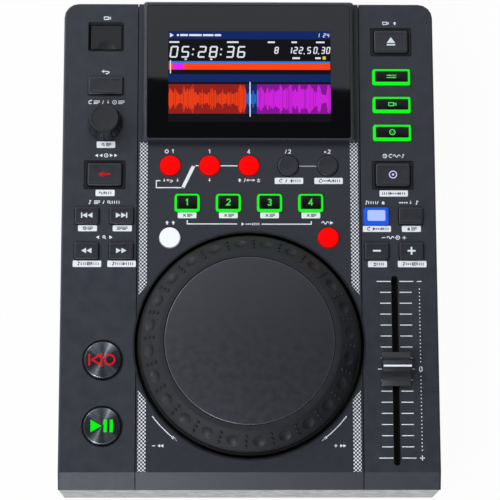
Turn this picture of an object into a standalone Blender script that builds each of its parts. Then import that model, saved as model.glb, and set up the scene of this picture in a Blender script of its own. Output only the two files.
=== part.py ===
"""Table-top media player with a jog wheel, a colour display, a pitch fader and push buttons.

Metres, +Z up, +X to the right, the front towards -Y. The origin is on the table, under the
middle of the whole object. Rows of controls are placed by their distance from the rear edge.
"""

import math

import bmesh
import bpy
from mathutils import Matrix, Vector

# Body
BODY_WIDTH = 0.2180
BODY_DEPTH = 0.2885
CASE_HEIGHT = 0.0440
FOOT_HEIGHT = 0.0050
COVER_DROP = 0.0050
COVER_WALL = 0.0025
CASE_WALL = 0.0025
CASE_DRAFT = 0.0010
SIDE_WIDTH = 0.0439
SEAM_GAP = 0.0005
PARTING_GAP = 0.0005
REAR_CORNER_RADIUS = 0.0085
EDGE_ROUND = 0.0010
CASE_BOTTOM_ROUND = 0.0015
CHAMFER_RUN = 0.0095
CHAMFER_DROP = 0.0040

# Clearances and working sizes
GAP = 0.0003
OVERRUN = 0.0040
SINK = 0.0008
WELD = 0.00001

# Columns and rows of controls
COLUMN_INSET = 0.0249
PAIR_PITCH = 0.0201
BACK_ROW = 0.0510
BROWSE_ROW = 0.0738
WIDE_ROW = 0.1048
UPPER_PAIR_ROW = 0.1294
LOWER_PAIR_ROW = 0.1504
CUE_ROW = 0.2145
PLAY_ROW = 0.2527
EJECT_ROW = 0.0236
MODE_ROW = 0.0452
MODE_PITCH = 0.0170
LOOP_ROW = 0.0993
LOOP_PITCH_SHARE = 0.1767
HOT_CUE_ROW = 0.1216
HOT_CUE_PITCH_SHARE = 0.1843
SHIFT_ROW = 0.1424
JOG_ROW = 0.2053
FADER_ROW = 0.2200

# Push buttons: width, depth and corner radius, or a diameter
PAIR_SIZE = (0.0141, 0.0100, 0.0010)
BACK_SIZE = (0.0204, 0.0106, 0.0006)
WIDE_SIZE = (0.0200, 0.0136, 0.0013)
HOT_CUE_SIZE = (0.0140, 0.0102, 0.0012)
MODE_SIZE = (0.0218, 0.0092, 0.0008)
LOOP_DIAMETER = 0.0122
TRANSPORT_DIAMETER = 0.0213
CAP_RISE = 0.0018
LOOP_RISE = 0.0012
TRANSPORT_RISE = 0.0020
CAP_ROUND = 0.0007
CAP_GAP = 0.00035
FLANGE_WIDTH = 0.0010
FLANGE_THICKNESS = 0.0010
BUTTON_TRAVEL = 0.0010
STEM_WIDTH = 0.0040
SWITCH_WIDTH = 0.0060
SWITCH_HEIGHT = 0.0040
WIDE_FRAME = (0.0245, 0.0174, 0.0008)
FRAME_DEPTH = 0.0006
TRANSPORT_RING_DIAMETER = 0.0236
TRANSPORT_RING_DEPTH = 0.0012

# Display
BLOCK_MARGIN = 0.0029
BLOCK_DEPTH = 0.0849
BLOCK_RISE = 0.0050
BLOCK_BEVEL = 0.0022
LENS_RIM = 0.0028
LENS_THICKNESS = 0.0015
LENS_CORNER_RADIUS = 0.0012
LCD_MARGIN = 0.00945
LCD_DEPTH = 0.0672
LCD_ROW = 0.0463

# Jog wheel and its well, each ring's width, with heights above the deck
WELL_OVERHANG = 0.0016
WHEEL_GAP = 0.0027
LIP_WIDTH = 0.0012
CONE_RUN = 0.0105
BAND_WIDTH = 0.0037
TOUCH_THICKNESS = 0.0020
TOUCH_GROOVE = 0.0006
PLATE_RISE = 0.0140
CONE_FOOT_RISE = 0.0042
LIP_RISE = 0.0004
SKIRT_DROP = 0.0060
WHEEL_WALL = 0.0027
HUB_RADIUS = 0.0100
SPINDLE_RADIUS = 0.0030
COLLAR_RADIUS = 0.0052
COLLAR_THICKNESS = 0.0020
DIMPLE_COUNT = 24
DIMPLE_DIAMETER = 0.0072
DIMPLE_DEPTH = 0.0012
DIMPLE_TURN = math.radians(5.3)
BUMP_RADIUS = 0.00105
BUMP_PITCH = 0.0034
BUMPS_IN_ROW = 3
WELL_RIM = 0.0007
RIM_STEP = 0.0001
WELL_TAPER = 0.0010
WELL_DEPTH = 0.0085
WELL_WALL = 0.0020
WELL_FLANGE = 0.0031
WELL_FLANGE_THICKNESS = 0.0015
BEARING_RADIUS = 0.0080
BEARING_FLANGE = 0.0030
BEARING_FLANGE_THICKNESS = 0.0017
BEARING_REACH = 0.0020

# Browse knob
KNOB_RADIUS = 0.0103
KNOB_TOP_RADIUS = 0.0083
KNOB_HEIGHT = 0.0110
KNOB_SKIRT_HEIGHT = 0.0032
KNOB_CLEARANCE = 0.0012
KNOB_DISH = 0.0004
KNOB_GRIPS = 12
KNOB_GRIP_RADIUS = 0.0013
SHAFT_RADIUS = 0.0030
SHAFT_REACH = 0.0062
PUSH_TRAVEL = 0.0008
ENCODER_WIDTH = 0.0120
ENCODER_HEIGHT = 0.0062
ENCODER_BORE_DEPTH = 0.0052

# Pitch fader
FADER_TRAVEL = 0.0510
FADER_SLOT_WIDTH = 0.0038
FADER_SLOT_LENGTH = 0.1105
CAP_WIDTH = 0.0166
CAP_LENGTH = 0.0196
CAP_HEIGHT = 0.0130
CAP_FOOT = 0.0022
CAP_RIDGE = 0.0062
CAP_LIFT = 0.0010
CAP_POCKET_DEPTH = 0.0050
LEVER_THICKNESS = 0.0014
LEVER_LENGTH = 0.0050
LEVER_DROP = 0.0060
FADER_BODY_WIDTH = 0.0120
FADER_BODY_HEIGHT = 0.0090
FADER_BODY_MARGIN = 0.0045

# Top socket for a memory stick, its pocket and its lid
USB_ROW = 0.0205
USB_RECESS = (0.0213, 0.0184, 0.0026)
USB_LID = (0.0183, 0.0150, 0.0004)
USB_LID_DEPTH = 0.0018
USB_LID_THICKNESS = 0.0016
LID_EASE = 0.0004
USB_POCKET_DEPTH = 0.0084
USB_POCKET_WALL = 0.0015
USB_SHELL = (0.0131, 0.0057)
USB_SHELL_LENGTH = 0.0137
USB_SHELL_WALL = 0.0004
USB_TONGUE = (0.0108, 0.0018)
USB_TONGUE_SHIFT = 0.0009
USB_BOARD = (0.0220, 0.0150)
LID_SCOOP_RADIUS = 0.0055
LID_SCOOP_DEPTH = 0.0007

# Circuit boards
BOARD_THICKNESS = 0.0016
BOARD_DROP = 0.0110
BOARD_INSET = 0.0050
BOARD_SEAM_MARGIN = 0.0037
BOARD_MARGIN = 0.0090
BOSS_RADIUS = 0.0018
WELL_CLEARANCE = 0.0010

# Rear connectors
JACK_REACH = 0.0080
JACK_RADIUS = 0.0042
JACK_BORE_RADIUS = 0.0016
JACK_BORE_DEPTH = 0.0100
JACK_PITCH = 0.0140
JACK_BLOCK = (0.0240, 0.0110, 0.0140)
JACK_X = 0.0050
SOCKET_PITCH = 0.0410
SOCKET_SHELL = (0.0120, 0.0160, 0.0108)
SOCKET_CAVITY = (0.0086, 0.0095, 0.0078)
SOCKET_TONGUE = (0.0056, 0.0080, 0.0032)
INLET_PITCH = 0.0300
INLET_BLOCK = (0.0100, 0.0130, 0.0112)
INLET_RADIUS = 0.0046
INLET_BORE_RADIUS = 0.0032
INLET_BORE_DEPTH = 0.0095
INLET_PIN_RADIUS = 0.0010
LOCK_INSET = 0.0230
LOCK_SLOT = (0.0070, 0.0030)
SWITCH_INSET = 0.0290
SWITCH_FRAME = (0.0210, 0.0014, 0.0150)
SWITCH_BODY = (0.0185, 0.0105, 0.0126)
ROCKER_SIZE = (0.0144, 0.0086)
ROCKER_RISE = 0.0010
ROCKER_VALLEY = 0.0007
ROCKER_PIVOT_DEPTH = 0.0020
ROCKER_BELLY = 0.0040
ROCKER_TILT = math.radians(11)
ROCKER_GAP = 0.0005
MAIN_BOARD_X = 0.0050
MAIN_BOARD_SIDE = 0.0440
MAIN_BOARD_DEPTH = 0.0450
MAIN_BOARD_LIFT = 0.0060
MAIN_BOARD_GAP = 0.0010

# Posts and feet
POST_RADIUS = 0.0030
POST_INSET = 0.0105
SEAM_POST_ROW = 0.1240
WELL_POST_RADIUS = 0.0420
WELL_POSTS = 3
FOOT_RADIUS = 0.0080
FOOT_TAPER = 0.0010
FOOT_INSET_X = 0.0190
FOOT_INSET_Y = 0.0200
SCREW_WELL_RADIUS = 0.0034
SCREW_WELL_DEPTH = 0.0012

# Places worked out from the sizes above
HALF_WIDTH = BODY_WIDTH / 2
REAR_Y = (BODY_DEPTH - JACK_REACH) / 2
FRONT_Y = REAR_Y - BODY_DEPTH
DECK_Z = FOOT_HEIGHT + CASE_HEIGHT
PART_Z = DECK_Z - COVER_DROP
CEILING_Z = DECK_Z - COVER_WALL
FLOOR_Z = FOOT_HEIGHT + CASE_WALL
RIM_Z = PART_Z - PARTING_GAP
BOARD_Z = DECK_Z - BOARD_DROP
CENTRE_WIDTH = BODY_WIDTH - 2 * SIDE_WIDTH
SEAM_X = CENTRE_WIDTH / 2
LOOP_PITCH = CENTRE_WIDTH * LOOP_PITCH_SHARE
HOT_CUE_PITCH = CENTRE_WIDTH * HOT_CUE_PITCH_SHARE
BLOCK_WIDTH = CENTRE_WIDTH - 2 * BLOCK_MARGIN
LCD_WIDTH = BLOCK_WIDTH - 2 * LCD_MARGIN
WELL_RADIUS = SEAM_X + WELL_OVERHANG
WELL_FOOT_RADIUS = WELL_RADIUS - WELL_RIM - WELL_TAPER
LIP_RADIUS = WELL_RADIUS - WHEEL_GAP
CONE_RADIUS = LIP_RADIUS - LIP_WIDTH
BAND_RADIUS = CONE_RADIUS - CONE_RUN
TOUCH_RADIUS = BAND_RADIUS - BAND_WIDTH
MAIN_BOARD_WIDTH = BODY_WIDTH - 2 * MAIN_BOARD_SIDE
SWITCH_X = SWITCH_INSET - HALF_WIDTH
INLET_X = SWITCH_X + INLET_PITCH
LOCK_X = HALF_WIDTH - LOCK_INSET
SOCKET_X = LOCK_X - SOCKET_PITCH
COLUMN_X = HALF_WIDTH - COLUMN_INSET
HALF_PAIR = PAIR_PITCH / 2
JOG_Y = REAR_Y - JOG_ROW
FADER_Y = REAR_Y - FADER_ROW
USB_Y = REAR_Y - USB_ROW
BROWSE_Y = REAR_Y - BROWSE_ROW
STEM_FOOT = SWITCH_HEIGHT + BUTTON_TRAVEL + GAP - BOARD_DROP
FLANGE_TOP = -COVER_WALL - GAP

ROUND_STEPS = 20
WHEEL_STEPS = 48
SMALL_STEPS = 16
POST_STEPS = 8
CORNER_STEPS = 2
DISH_RINGS = 2
DISH_OVERREACH = 1.1


def named_collection(name):
    made = bpy.data.collections.new(name)
    bpy.context.scene.collection.children.link(made)
    return made


def finish(name, colour, roughness, metallic=0.0, alpha=1.0):
    made = bpy.data.materials.new(name)
    made.use_nodes = True
    shader = made.node_tree.nodes["Principled BSDF"]
    shader.inputs["Base Color"].default_value = (*colour, 1.0)
    shader.inputs["Roughness"].default_value = roughness
    shader.inputs["Metallic"].default_value = metallic
    shader.inputs["Alpha"].default_value = alpha
    made.diffuse_color = (*colour, alpha)
    return made


class Model:
    """The collections that hold the pieces and the cutters."""

    def __init__(self):
        self.parts = named_collection("dj_player")
        self.cutters = named_collection("dj_player_cutters")

    def piece(self, bm, name, material, at=(0, 0, 0)):
        made = mesh_object(bm, name, at)
        made.data.materials.append(material)
        self.parts.objects.link(made)
        return made

    def turned(self, profile, name, material, steps, at=(0, 0, 0), closed=False):
        made = turned_object(profile, name, steps, at, closed)
        made.data.materials.append(material)
        self.parts.objects.link(made)
        return made

    def helper(self, made):
        made.hide_render = True
        made.display_type = "WIRE"
        self.cutters.objects.link(made)
        return made

    def cut(self, target, bm, name, at=(0, 0, 0)):
        boolean(target, self.helper(mesh_object(bm, name, at)), "DIFFERENCE")

    def join(self, target, bm, name, at=(0, 0, 0)):
        boolean(target, self.helper(mesh_object(bm, name, at)), "UNION")

    def cut_turned(self, target, profile, name, steps, at):
        boolean(target, self.helper(turned_object(profile, name, steps, at)), "DIFFERENCE")

    def join_turned(self, target, profile, name, steps, at):
        boolean(target, self.helper(turned_object(profile, name, steps, at)), "UNION")


def mesh_object(bm, name, at):
    mesh = bpy.data.meshes.new(name)
    bmesh.ops.recalc_face_normals(bm, faces=bm.faces)
    bm.to_mesh(mesh)
    bm.free()
    mesh.shade_smooth()
    mesh.set_sharp_from_angle(angle=math.radians(30))
    made = bpy.data.objects.new(name, mesh)
    made.location = at
    return made


def boolean(target, tool, operation):
    step = target.modifiers.new(operation.lower(), "BOOLEAN")
    step.operation = operation
    step.solver = "EXACT"
    step.object = tool


# Shapes that the pieces are made from
def add_box(bm, low, high):
    size = [b - a for a, b in zip(low, high)]
    centre = [(a + b) / 2 for a, b in zip(low, high)]
    place = Matrix.Translation(centre) @ Matrix.Diagonal((*size, 1))
    return bmesh.ops.create_cube(bm, size=1, matrix=place)["verts"]


def add_post(bm, x, y, low, high, radius, sides=SMALL_STEPS, foot_radius=None):
    place = Matrix.Translation((x, y, (low + high) / 2))
    foot = radius if foot_radius is None else foot_radius
    return bmesh.ops.create_cone(
        bm, cap_ends=True, segments=sides, radius1=foot, radius2=radius, depth=high - low, matrix=place
    )["verts"]


def add_rear_post(bm, x, z, front, rear, radius, sides=SMALL_STEPS):
    """A round bar along Y."""
    turn = Matrix.Rotation(math.radians(-90), 4, "X")
    place = Matrix.Translation((x, (front + rear) / 2, z)) @ turn
    return bmesh.ops.create_cone(
        bm, cap_ends=True, segments=sides, radius1=radius, radius2=radius, depth=rear - front, matrix=place
    )["verts"]


def add_dish(bm, reach, depth, steps, frame):
    """A plug to cut a dish with: a ball's cap, this deep, under a flat end that clears the surface."""
    ball = (reach**2 + depth**2) / (2 * depth)
    widest = math.asin(reach / ball) * DISH_OVERREACH
    rim = ball * math.sin(widest)
    verts = bmesh.ops.create_circle(bm, cap_ends=True, segments=steps, radius=rim)["verts"]
    bmesh.ops.translate(bm, vec=(0, 0, ball - depth - ball * math.cos(widest)), verts=verts)
    face, shell, last = verts[0].link_faces[0], set(verts), widest
    for ring in range(DISH_RINGS - 1, 0, -1):
        angle = widest * ring / DISH_RINGS
        face = extruded(bm, face, keep=ring == DISH_RINGS - 1)
        for vert in face.verts:
            vert.co.x *= math.sin(angle) / math.sin(last)
            vert.co.y *= math.sin(angle) / math.sin(last)
            vert.co.z = ball - depth - ball * math.cos(angle)
        shell |= set(face.verts)
        last = angle
    bmesh.ops.transform(bm, matrix=frame, verts=list(shell))


def edges_of(verts):
    return list({edge for vert in verts for edge in vert.link_edges})


def upright(edge):
    a, b = (vert.co for vert in edge.verts)
    return abs(a.x - b.x) < WELD and abs(a.y - b.y) < WELD


def level_at(edge, z):
    return all(abs(vert.co.z - z) < WELD for vert in edge.verts)


def round_edges(bm, edges, radius, steps):
    bmesh.ops.bevel(bm, geom=edges, offset=radius, segments=steps, profile=0.5, affect="EDGES")


def add_slab(bm, x, y, plan, low, high, steps=CORNER_STEPS):
    """An upright prism: a rectangle with rounded corners, or a disc where the plan is a diameter."""
    if isinstance(plan, float):
        return add_post(bm, x, y, low, high, plan / 2, ROUND_STEPS)
    width, depth, radius = plan
    verts = add_box(bm, (x - width / 2, y - depth / 2, low), (x + width / 2, y + depth / 2, high))
    round_edges(bm, [edge for edge in edges_of(verts) if upright(edge)], radius, steps)
    return verts


def grown(plan, by):
    if isinstance(plan, float):
        return plan + 2 * by
    width, depth, radius = plan
    return (width + 2 * by, depth + 2 * by, radius + by)


def face_towards(bm, direction):
    return max(bm.faces, key=lambda face: face.calc_center_median().dot(Vector(direction)))


def extruded(bm, face, keep=False):
    """The copy of a face that its extrusion ends in; the face itself goes unless it is kept."""
    made = bmesh.ops.extrude_face_region(bm, geom=[face])["geom"]
    if not keep:
        bmesh.ops.delete(bm, geom=[face], context="FACES_ONLY")
    return next(item for item in made if isinstance(item, bmesh.types.BMFace))


def pull(bm, face, inset, distance):
    """Insets a level face and pulls its middle up or down; returns the end face."""
    if inset:
        bmesh.ops.inset_region(bm, faces=[face], thickness=inset)
    end = extruded(bm, face)
    bmesh.ops.translate(bm, vec=(0, 0, distance), verts=list(end.verts))
    return end


def turned_object(profile, name, steps, at=(0, 0, 0), closed=False):
    """A form turned about its own Z axis from (radius, height) points, run down the outer side."""
    mesh = bpy.data.meshes.new(name)
    links = [(i, i + 1) for i in range(len(profile) - 1)]
    if closed:
        links.append((len(profile) - 1, 0))
    mesh.from_pydata([(radius, 0, height) for radius, height in profile], links, [])
    made = bpy.data.objects.new(name, mesh)
    made.location = at
    screw = made.modifiers.new("turn", "SCREW")
    screw.axis = "Z"
    screw.angle = math.tau
    screw.steps = steps
    screw.render_steps = steps
    screw.use_merge_vertices = True
    screw.merge_threshold = WELD
    screw.use_smooth_shade = True
    return made


# Push buttons
def button(model, name, material, place, plan, rise):
    """A cap with a retaining flange under the cover and a stem that meets its switch."""
    bm = bmesh.new()
    add_slab(bm, 0, 0, grown(plan, FLANGE_WIDTH), FLANGE_TOP - FLANGE_THICKNESS, FLANGE_TOP)
    cap = pull(bm, face_towards(bm, (0, 0, 1)), FLANGE_WIDTH, rise - FLANGE_TOP)
    round_edges(bm, list(cap.edges), CAP_ROUND, 1 if isinstance(plan, float) else 2)
    x, row = place
    at = (x, REAR_Y - row, DECK_Z)
    made = model.piece(bm, name, material, at)
    bm = bmesh.new()
    half = STEM_WIDTH / 2
    add_box(bm, (-half, -half, STEM_FOOT), (half, half, FLANGE_TOP - FLANGE_THICKNESS / 2))
    model.join(made, bm, f"{name}_stem", at)
    return made


def button_layout():
    """Each button's name, place and plan: (x, row), size, rise above the deck and colour key."""
    left, right = -COLUMN_X, COLUMN_X
    rows = {
        "back_button": ((left, BACK_ROW), BACK_SIZE, CAP_RISE, "dark"),
        "direction_button": ((left, WIDE_ROW), WIDE_SIZE, CAP_RISE, "dark"),
        "track_back_button": ((left - HALF_PAIR, UPPER_PAIR_ROW), PAIR_SIZE, CAP_RISE, "dark"),
        "track_next_button": ((left + HALF_PAIR, UPPER_PAIR_ROW), PAIR_SIZE, CAP_RISE, "dark"),
        "search_back_button": ((left - HALF_PAIR, LOWER_PAIR_ROW), PAIR_SIZE, CAP_RISE, "dark"),
        "search_next_button": ((left + HALF_PAIR, LOWER_PAIR_ROW), PAIR_SIZE, CAP_RISE, "dark"),
        "cue_button": ((left, CUE_ROW), TRANSPORT_DIAMETER, TRANSPORT_RISE, "metal"),
        "play_button": ((left, PLAY_ROW), TRANSPORT_DIAMETER, TRANSPORT_RISE, "metal"),
        "eject_button": ((right, EJECT_ROW), WIDE_SIZE, CAP_RISE, "dark"),
        "jog_mode_button": ((right, WIDE_ROW), WIDE_SIZE, CAP_RISE, "dark"),
        "key_lock_button": ((right - HALF_PAIR, UPPER_PAIR_ROW), PAIR_SIZE, CAP_RISE, "blue"),
        "tap_button": ((right + HALF_PAIR, UPPER_PAIR_ROW), PAIR_SIZE, CAP_RISE, "dark"),
        "pitch_down_button": ((right - HALF_PAIR, LOWER_PAIR_ROW), PAIR_SIZE, CAP_RISE, "dark"),
        "pitch_up_button": ((right + HALF_PAIR, LOWER_PAIR_ROW), PAIR_SIZE, CAP_RISE, "dark"),
        "shift_button": ((-2 * LOOP_PITCH, SHIFT_ROW), LOOP_DIAMETER, LOOP_RISE, "white"),
        "slip_button": ((2 * LOOP_PITCH, SHIFT_ROW), LOOP_DIAMETER, LOOP_RISE, "red"),
    }
    for index, name in enumerate(("setup_button", "source_button", "link_button")):
        row = MODE_ROW + index * MODE_PITCH
        rows[name] = ((right, row), MODE_SIZE, CAP_RISE, "green")
    loops = ("auto_loop", "loop_in", "loop_out", "loop_halve", "loop_double")
    for index, name in enumerate(loops):
        colour = "red" if index < 3 else "dark"
        rows[f"{name}_button"] = (((index - 2) * LOOP_PITCH, LOOP_ROW), LOOP_DIAMETER, LOOP_RISE, colour)
    for index in range(4):
        place = ((index - 1.5) * HOT_CUE_PITCH, HOT_CUE_ROW)
        rows[f"hot_cue_{index + 1}_button"] = (place, HOT_CUE_SIZE, CAP_RISE, "green")
    return rows


def zone_of(x):
    if x < -SEAM_X:
        return "left"
    return "right" if x > SEAM_X else "centre"


def control_zones(layout):
    """The buttons that each top cover carries, keyed by left, centre or right."""
    zones = {"left": {}, "centre": {}, "right": {}}
    for name, entry in layout.items():
        zones[zone_of(entry[0][0])][name] = entry
    return zones


# Top covers
def cover_blank(low_x, high_x):
    """The outer form of the top, cut to one zone: flat deck, front chamfer, rounded rear corners."""
    bm = bmesh.new()
    add_box(bm, (-HALF_WIDTH, FRONT_Y, PART_Z), (HALF_WIDTH, REAR_Y, DECK_Z))
    front_top = [
        edge for edge in bm.edges if level_at(edge, DECK_Z) and all(vert.co.y < 0 for vert in edge.verts)
    ]
    bmesh.ops.bevel(bm, geom=front_top, offset=CHAMFER_DROP, segments=1, affect="EDGES")
    for vert in bm.verts:
        if abs(vert.co.z - DECK_Z) < WELD and vert.co.y < 0:
            vert.co.y = FRONT_Y + CHAMFER_RUN
    rear = [edge for edge in bm.edges if upright(edge) and edge.verts[0].co.y > 0]
    round_edges(bm, rear, REAR_CORNER_RADIUS, 4)
    outline = [edge for edge in bm.edges if outer_edge(edge)]
    round_edges(bm, outline, EDGE_ROUND, 2)
    keep_between(bm, low_x, high_x)
    return bm


def outer_edge(edge):
    """True on the edge between the deck or the chamfer and the side and rear walls."""
    if level_at(edge, PART_Z) or not edge.is_manifold:
        return False
    up = max(face.normal.z for face in edge.link_faces)
    across = min(face.normal.z for face in edge.link_faces)
    return up > 0.5 and abs(across) < 0.1 and not faces_front(edge)


def faces_front(edge):
    return any(face.normal.y < -0.9 for face in edge.link_faces)


def keep_between(bm, low_x, high_x):
    for x, direction in ((low_x, -1), (high_x, 1)):
        if abs(x) >= HALF_WIDTH:
            continue
        everything = bm.verts[:] + bm.edges[:] + bm.faces[:]
        cut = bmesh.ops.bisect_plane(
            bm, geom=everything, plane_co=(x, 0, 0), plane_no=(direction, 0, 0), clear_outer=True, dist=WELD
        )
        rim = [item for item in cut["geom_cut"] if isinstance(item, bmesh.types.BMEdge)]
        bmesh.ops.edgeloop_fill(bm, edges=rim)


def cavity(low_x, high_x, rounded):
    """The hollow under a cover; its rear corner is round where it lies in the body's corner."""
    bm = bmesh.new()
    low = (low_x, FRONT_Y + CHAMFER_RUN, PART_Z - OVERRUN)
    verts = add_box(bm, low, (high_x, REAR_Y - COVER_WALL, CEILING_Z))
    corner = [edge for edge in edges_of(verts) if upright(edge) and edge.verts[0].co.y > 0]
    corner = [edge for edge in corner if rounded and abs(edge.verts[0].co.x) > SEAM_X + OVERRUN]
    if corner:
        round_edges(bm, corner, REAR_CORNER_RADIUS - COVER_WALL, 3)
    return bm


def through_holes(zone):
    bm = bmesh.new()
    for place, plan, _rise, _colour in zone.values():
        x, row = place
        add_slab(bm, x, REAR_Y - row, grown(plan, CAP_GAP), CEILING_Z - OVERRUN, DECK_Z + OVERRUN)
    return bm


def frame_recesses(zone):
    """Shallow recesses round the wide buttons and the two transport buttons."""
    bm = bmesh.new()
    for place, plan, _rise, _colour in zone.values():
        x, row = place
        if plan == WIDE_SIZE:
            add_slab(bm, x, REAR_Y - row, WIDE_FRAME, DECK_Z - FRAME_DEPTH, DECK_Z + OVERRUN)
        elif plan == TRANSPORT_DIAMETER:
            low = DECK_Z - TRANSPORT_RING_DEPTH
            add_slab(bm, x, REAR_Y - row, TRANSPORT_RING_DIAMETER, low, DECK_Z + OVERRUN)
    return bm


def well_opening(radius):
    bm = bmesh.new()
    add_post(bm, 0, JOG_Y, CEILING_Z - OVERRUN, DECK_Z + OVERRUN, radius, WHEEL_STEPS)
    return bm


def flange_relief():
    bm = bmesh.new()
    add_post(bm, 0, JOG_Y, PART_Z - OVERRUN, CEILING_Z, WELL_RADIUS + WELL_FLANGE + GAP, WHEEL_STEPS)
    return bm


def cover_bosses(spots):
    """Short posts under a cover that the circuit board hangs from."""
    bm = bmesh.new()
    for x, y in spots:
        add_post(bm, x, y, BOARD_Z + GAP, CEILING_Z + SINK, BOSS_RADIUS, POST_STEPS)
    return bm


def left_cover(model, material, zone):
    bm = cover_blank(-HALF_WIDTH, -SEAM_X - SEAM_GAP / 2)
    cover = model.piece(bm, "left_cover", material)
    inner = -SEAM_X + OVERRUN
    model.cut(cover, cavity(-HALF_WIDTH + COVER_WALL, inner, True), "left_cavity")
    model.join(cover, cover_bosses(side_boss_spots("left")), "left_bosses")
    model.join(cover, usb_pocket_block(), "usb_pocket_block")
    model.cut(cover, through_holes(zone), "left_holes")
    model.cut(cover, frame_recesses(zone), "left_recesses")
    model.cut(cover, usb_pocket_hollow(), "usb_pocket_hollow")
    model.cut(cover, usb_floor_hole(), "usb_floor_hole")
    model.cut(cover, browse_hole(), "browse_hole")
    model.cut(cover, well_opening(WELL_RADIUS + GAP), "left_well_opening")
    model.cut(cover, flange_relief(), "left_flange_relief")
    return cover


def right_cover(model, material, zone):
    bm = cover_blank(SEAM_X + SEAM_GAP / 2, HALF_WIDTH)
    cover = model.piece(bm, "right_cover", material)
    model.cut(cover, cavity(SEAM_X - OVERRUN, HALF_WIDTH - COVER_WALL, True), "right_cavity")
    model.join(cover, cover_bosses(side_boss_spots("right")), "right_bosses")
    model.cut(cover, through_holes(zone), "right_holes")
    model.cut(cover, frame_recesses(zone), "right_recesses")
    model.cut(cover, fader_slot(), "fader_slot")
    model.cut(cover, well_opening(WELL_RADIUS + GAP), "right_well_opening")
    model.cut(cover, flange_relief(), "right_flange_relief")
    return cover


def centre_cover(model, material, zone):
    bm = cover_blank(-SEAM_X + SEAM_GAP / 2, SEAM_X - SEAM_GAP / 2)
    cover = model.piece(bm, "centre_cover", material)
    inner = SEAM_X - COVER_WALL
    model.cut(cover, cavity(-inner, inner, False), "centre_cavity")
    model.join(cover, cover_bosses(centre_boss_spots()), "centre_bosses")
    model.cut(cover, through_holes(zone), "centre_holes")
    model.join_turned(cover, well_block_profile(), "well_block", WHEEL_STEPS, (0, JOG_Y, DECK_Z))
    model.cut_turned(cover, well_hollow_profile(), "well_hollow", WHEEL_STEPS, (0, JOG_Y, DECK_Z))
    return cover


def well_block_profile():
    """The round cup moulded with the centre cover, and its flange under the side covers."""
    return [
        (0, -RIM_STEP),
        (WELL_RADIUS, -RIM_STEP),
        (WELL_RADIUS, FLANGE_TOP),
        (WELL_RADIUS + WELL_FLANGE, FLANGE_TOP),
        (WELL_RADIUS + WELL_FLANGE, FLANGE_TOP - WELL_FLANGE_THICKNESS),
        (WELL_FOOT_RADIUS + WELL_WALL, FLANGE_TOP - WELL_FLANGE_THICKNESS),
        (WELL_FOOT_RADIUS + WELL_WALL, -WELL_DEPTH - WELL_WALL),
        (0, -WELL_DEPTH - WELL_WALL),
    ]


def well_hollow_profile():
    """The wheel's trough, tapered a little, with the bearing's bore through its floor."""
    taper = (WELL_RADIUS - WELL_RIM - WELL_FOOT_RADIUS) / WELL_DEPTH
    return [
        (0, OVERRUN),
        (WELL_RADIUS - WELL_RIM + OVERRUN * taper, OVERRUN),
        (WELL_FOOT_RADIUS, -WELL_DEPTH),
        (BEARING_RADIUS + GAP, -WELL_DEPTH),
        (BEARING_RADIUS + GAP, -WELL_DEPTH - WELL_WALL - OVERRUN),
        (0, -WELL_DEPTH - WELL_WALL - OVERRUN),
    ]


def fader_slot():
    bm = bmesh.new()
    plan = (FADER_SLOT_WIDTH, FADER_SLOT_LENGTH, FADER_SLOT_WIDTH / 2 - WELD)
    add_slab(bm, COLUMN_X, FADER_Y, plan, CEILING_Z - OVERRUN, DECK_Z + OVERRUN, 4)
    return bm


def browse_hole():
    bm = bmesh.new()
    add_post(bm, -COLUMN_X, BROWSE_Y, CEILING_Z - OVERRUN, DECK_Z + OVERRUN, SHAFT_RADIUS + 2 * GAP)
    return bm


# Memory stick socket, pocket and lid
def usb_pocket_block():
    bm = bmesh.new()
    outer = grown(USB_LID, GAP + USB_POCKET_WALL)
    add_slab(bm, -COLUMN_X, USB_Y, outer, DECK_Z - USB_POCKET_DEPTH - USB_POCKET_WALL, CEILING_Z + SINK)
    return bm


def usb_pocket_hollow():
    """The recess tapers from the deck to the lid, and the pocket goes straight down below it."""
    bm = bmesh.new()
    floor = DECK_Z - USB_POCKET_DEPTH
    add_slab(bm, -COLUMN_X, USB_Y, grown(USB_LID, GAP), floor, DECK_Z - USB_LID_DEPTH)
    width, depth, _radius = grown(USB_LID, GAP)
    top = face_towards(bm, (0, 0, 1))
    mouth = pull(bm, top, 0, USB_LID_DEPTH)
    stretch_x, stretch_y = USB_RECESS[0] / width, USB_RECESS[1] / depth
    for vert in mouth.verts:
        vert.co.x = -COLUMN_X + (vert.co.x + COLUMN_X) * stretch_x
        vert.co.y = USB_Y + (vert.co.y - USB_Y) * stretch_y
    pull(bm, mouth, 0, OVERRUN)
    return bm


def usb_floor_hole():
    bm = bmesh.new()
    width, depth = (size / 2 + GAP for size in USB_SHELL)
    floor = DECK_Z - USB_POCKET_DEPTH
    low = (-COLUMN_X - width, USB_Y - depth, floor - USB_POCKET_WALL - OVERRUN / 2)
    add_box(bm, low, (-COLUMN_X + width, USB_Y + depth, floor + OVERRUN / 2))
    return bm


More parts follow.
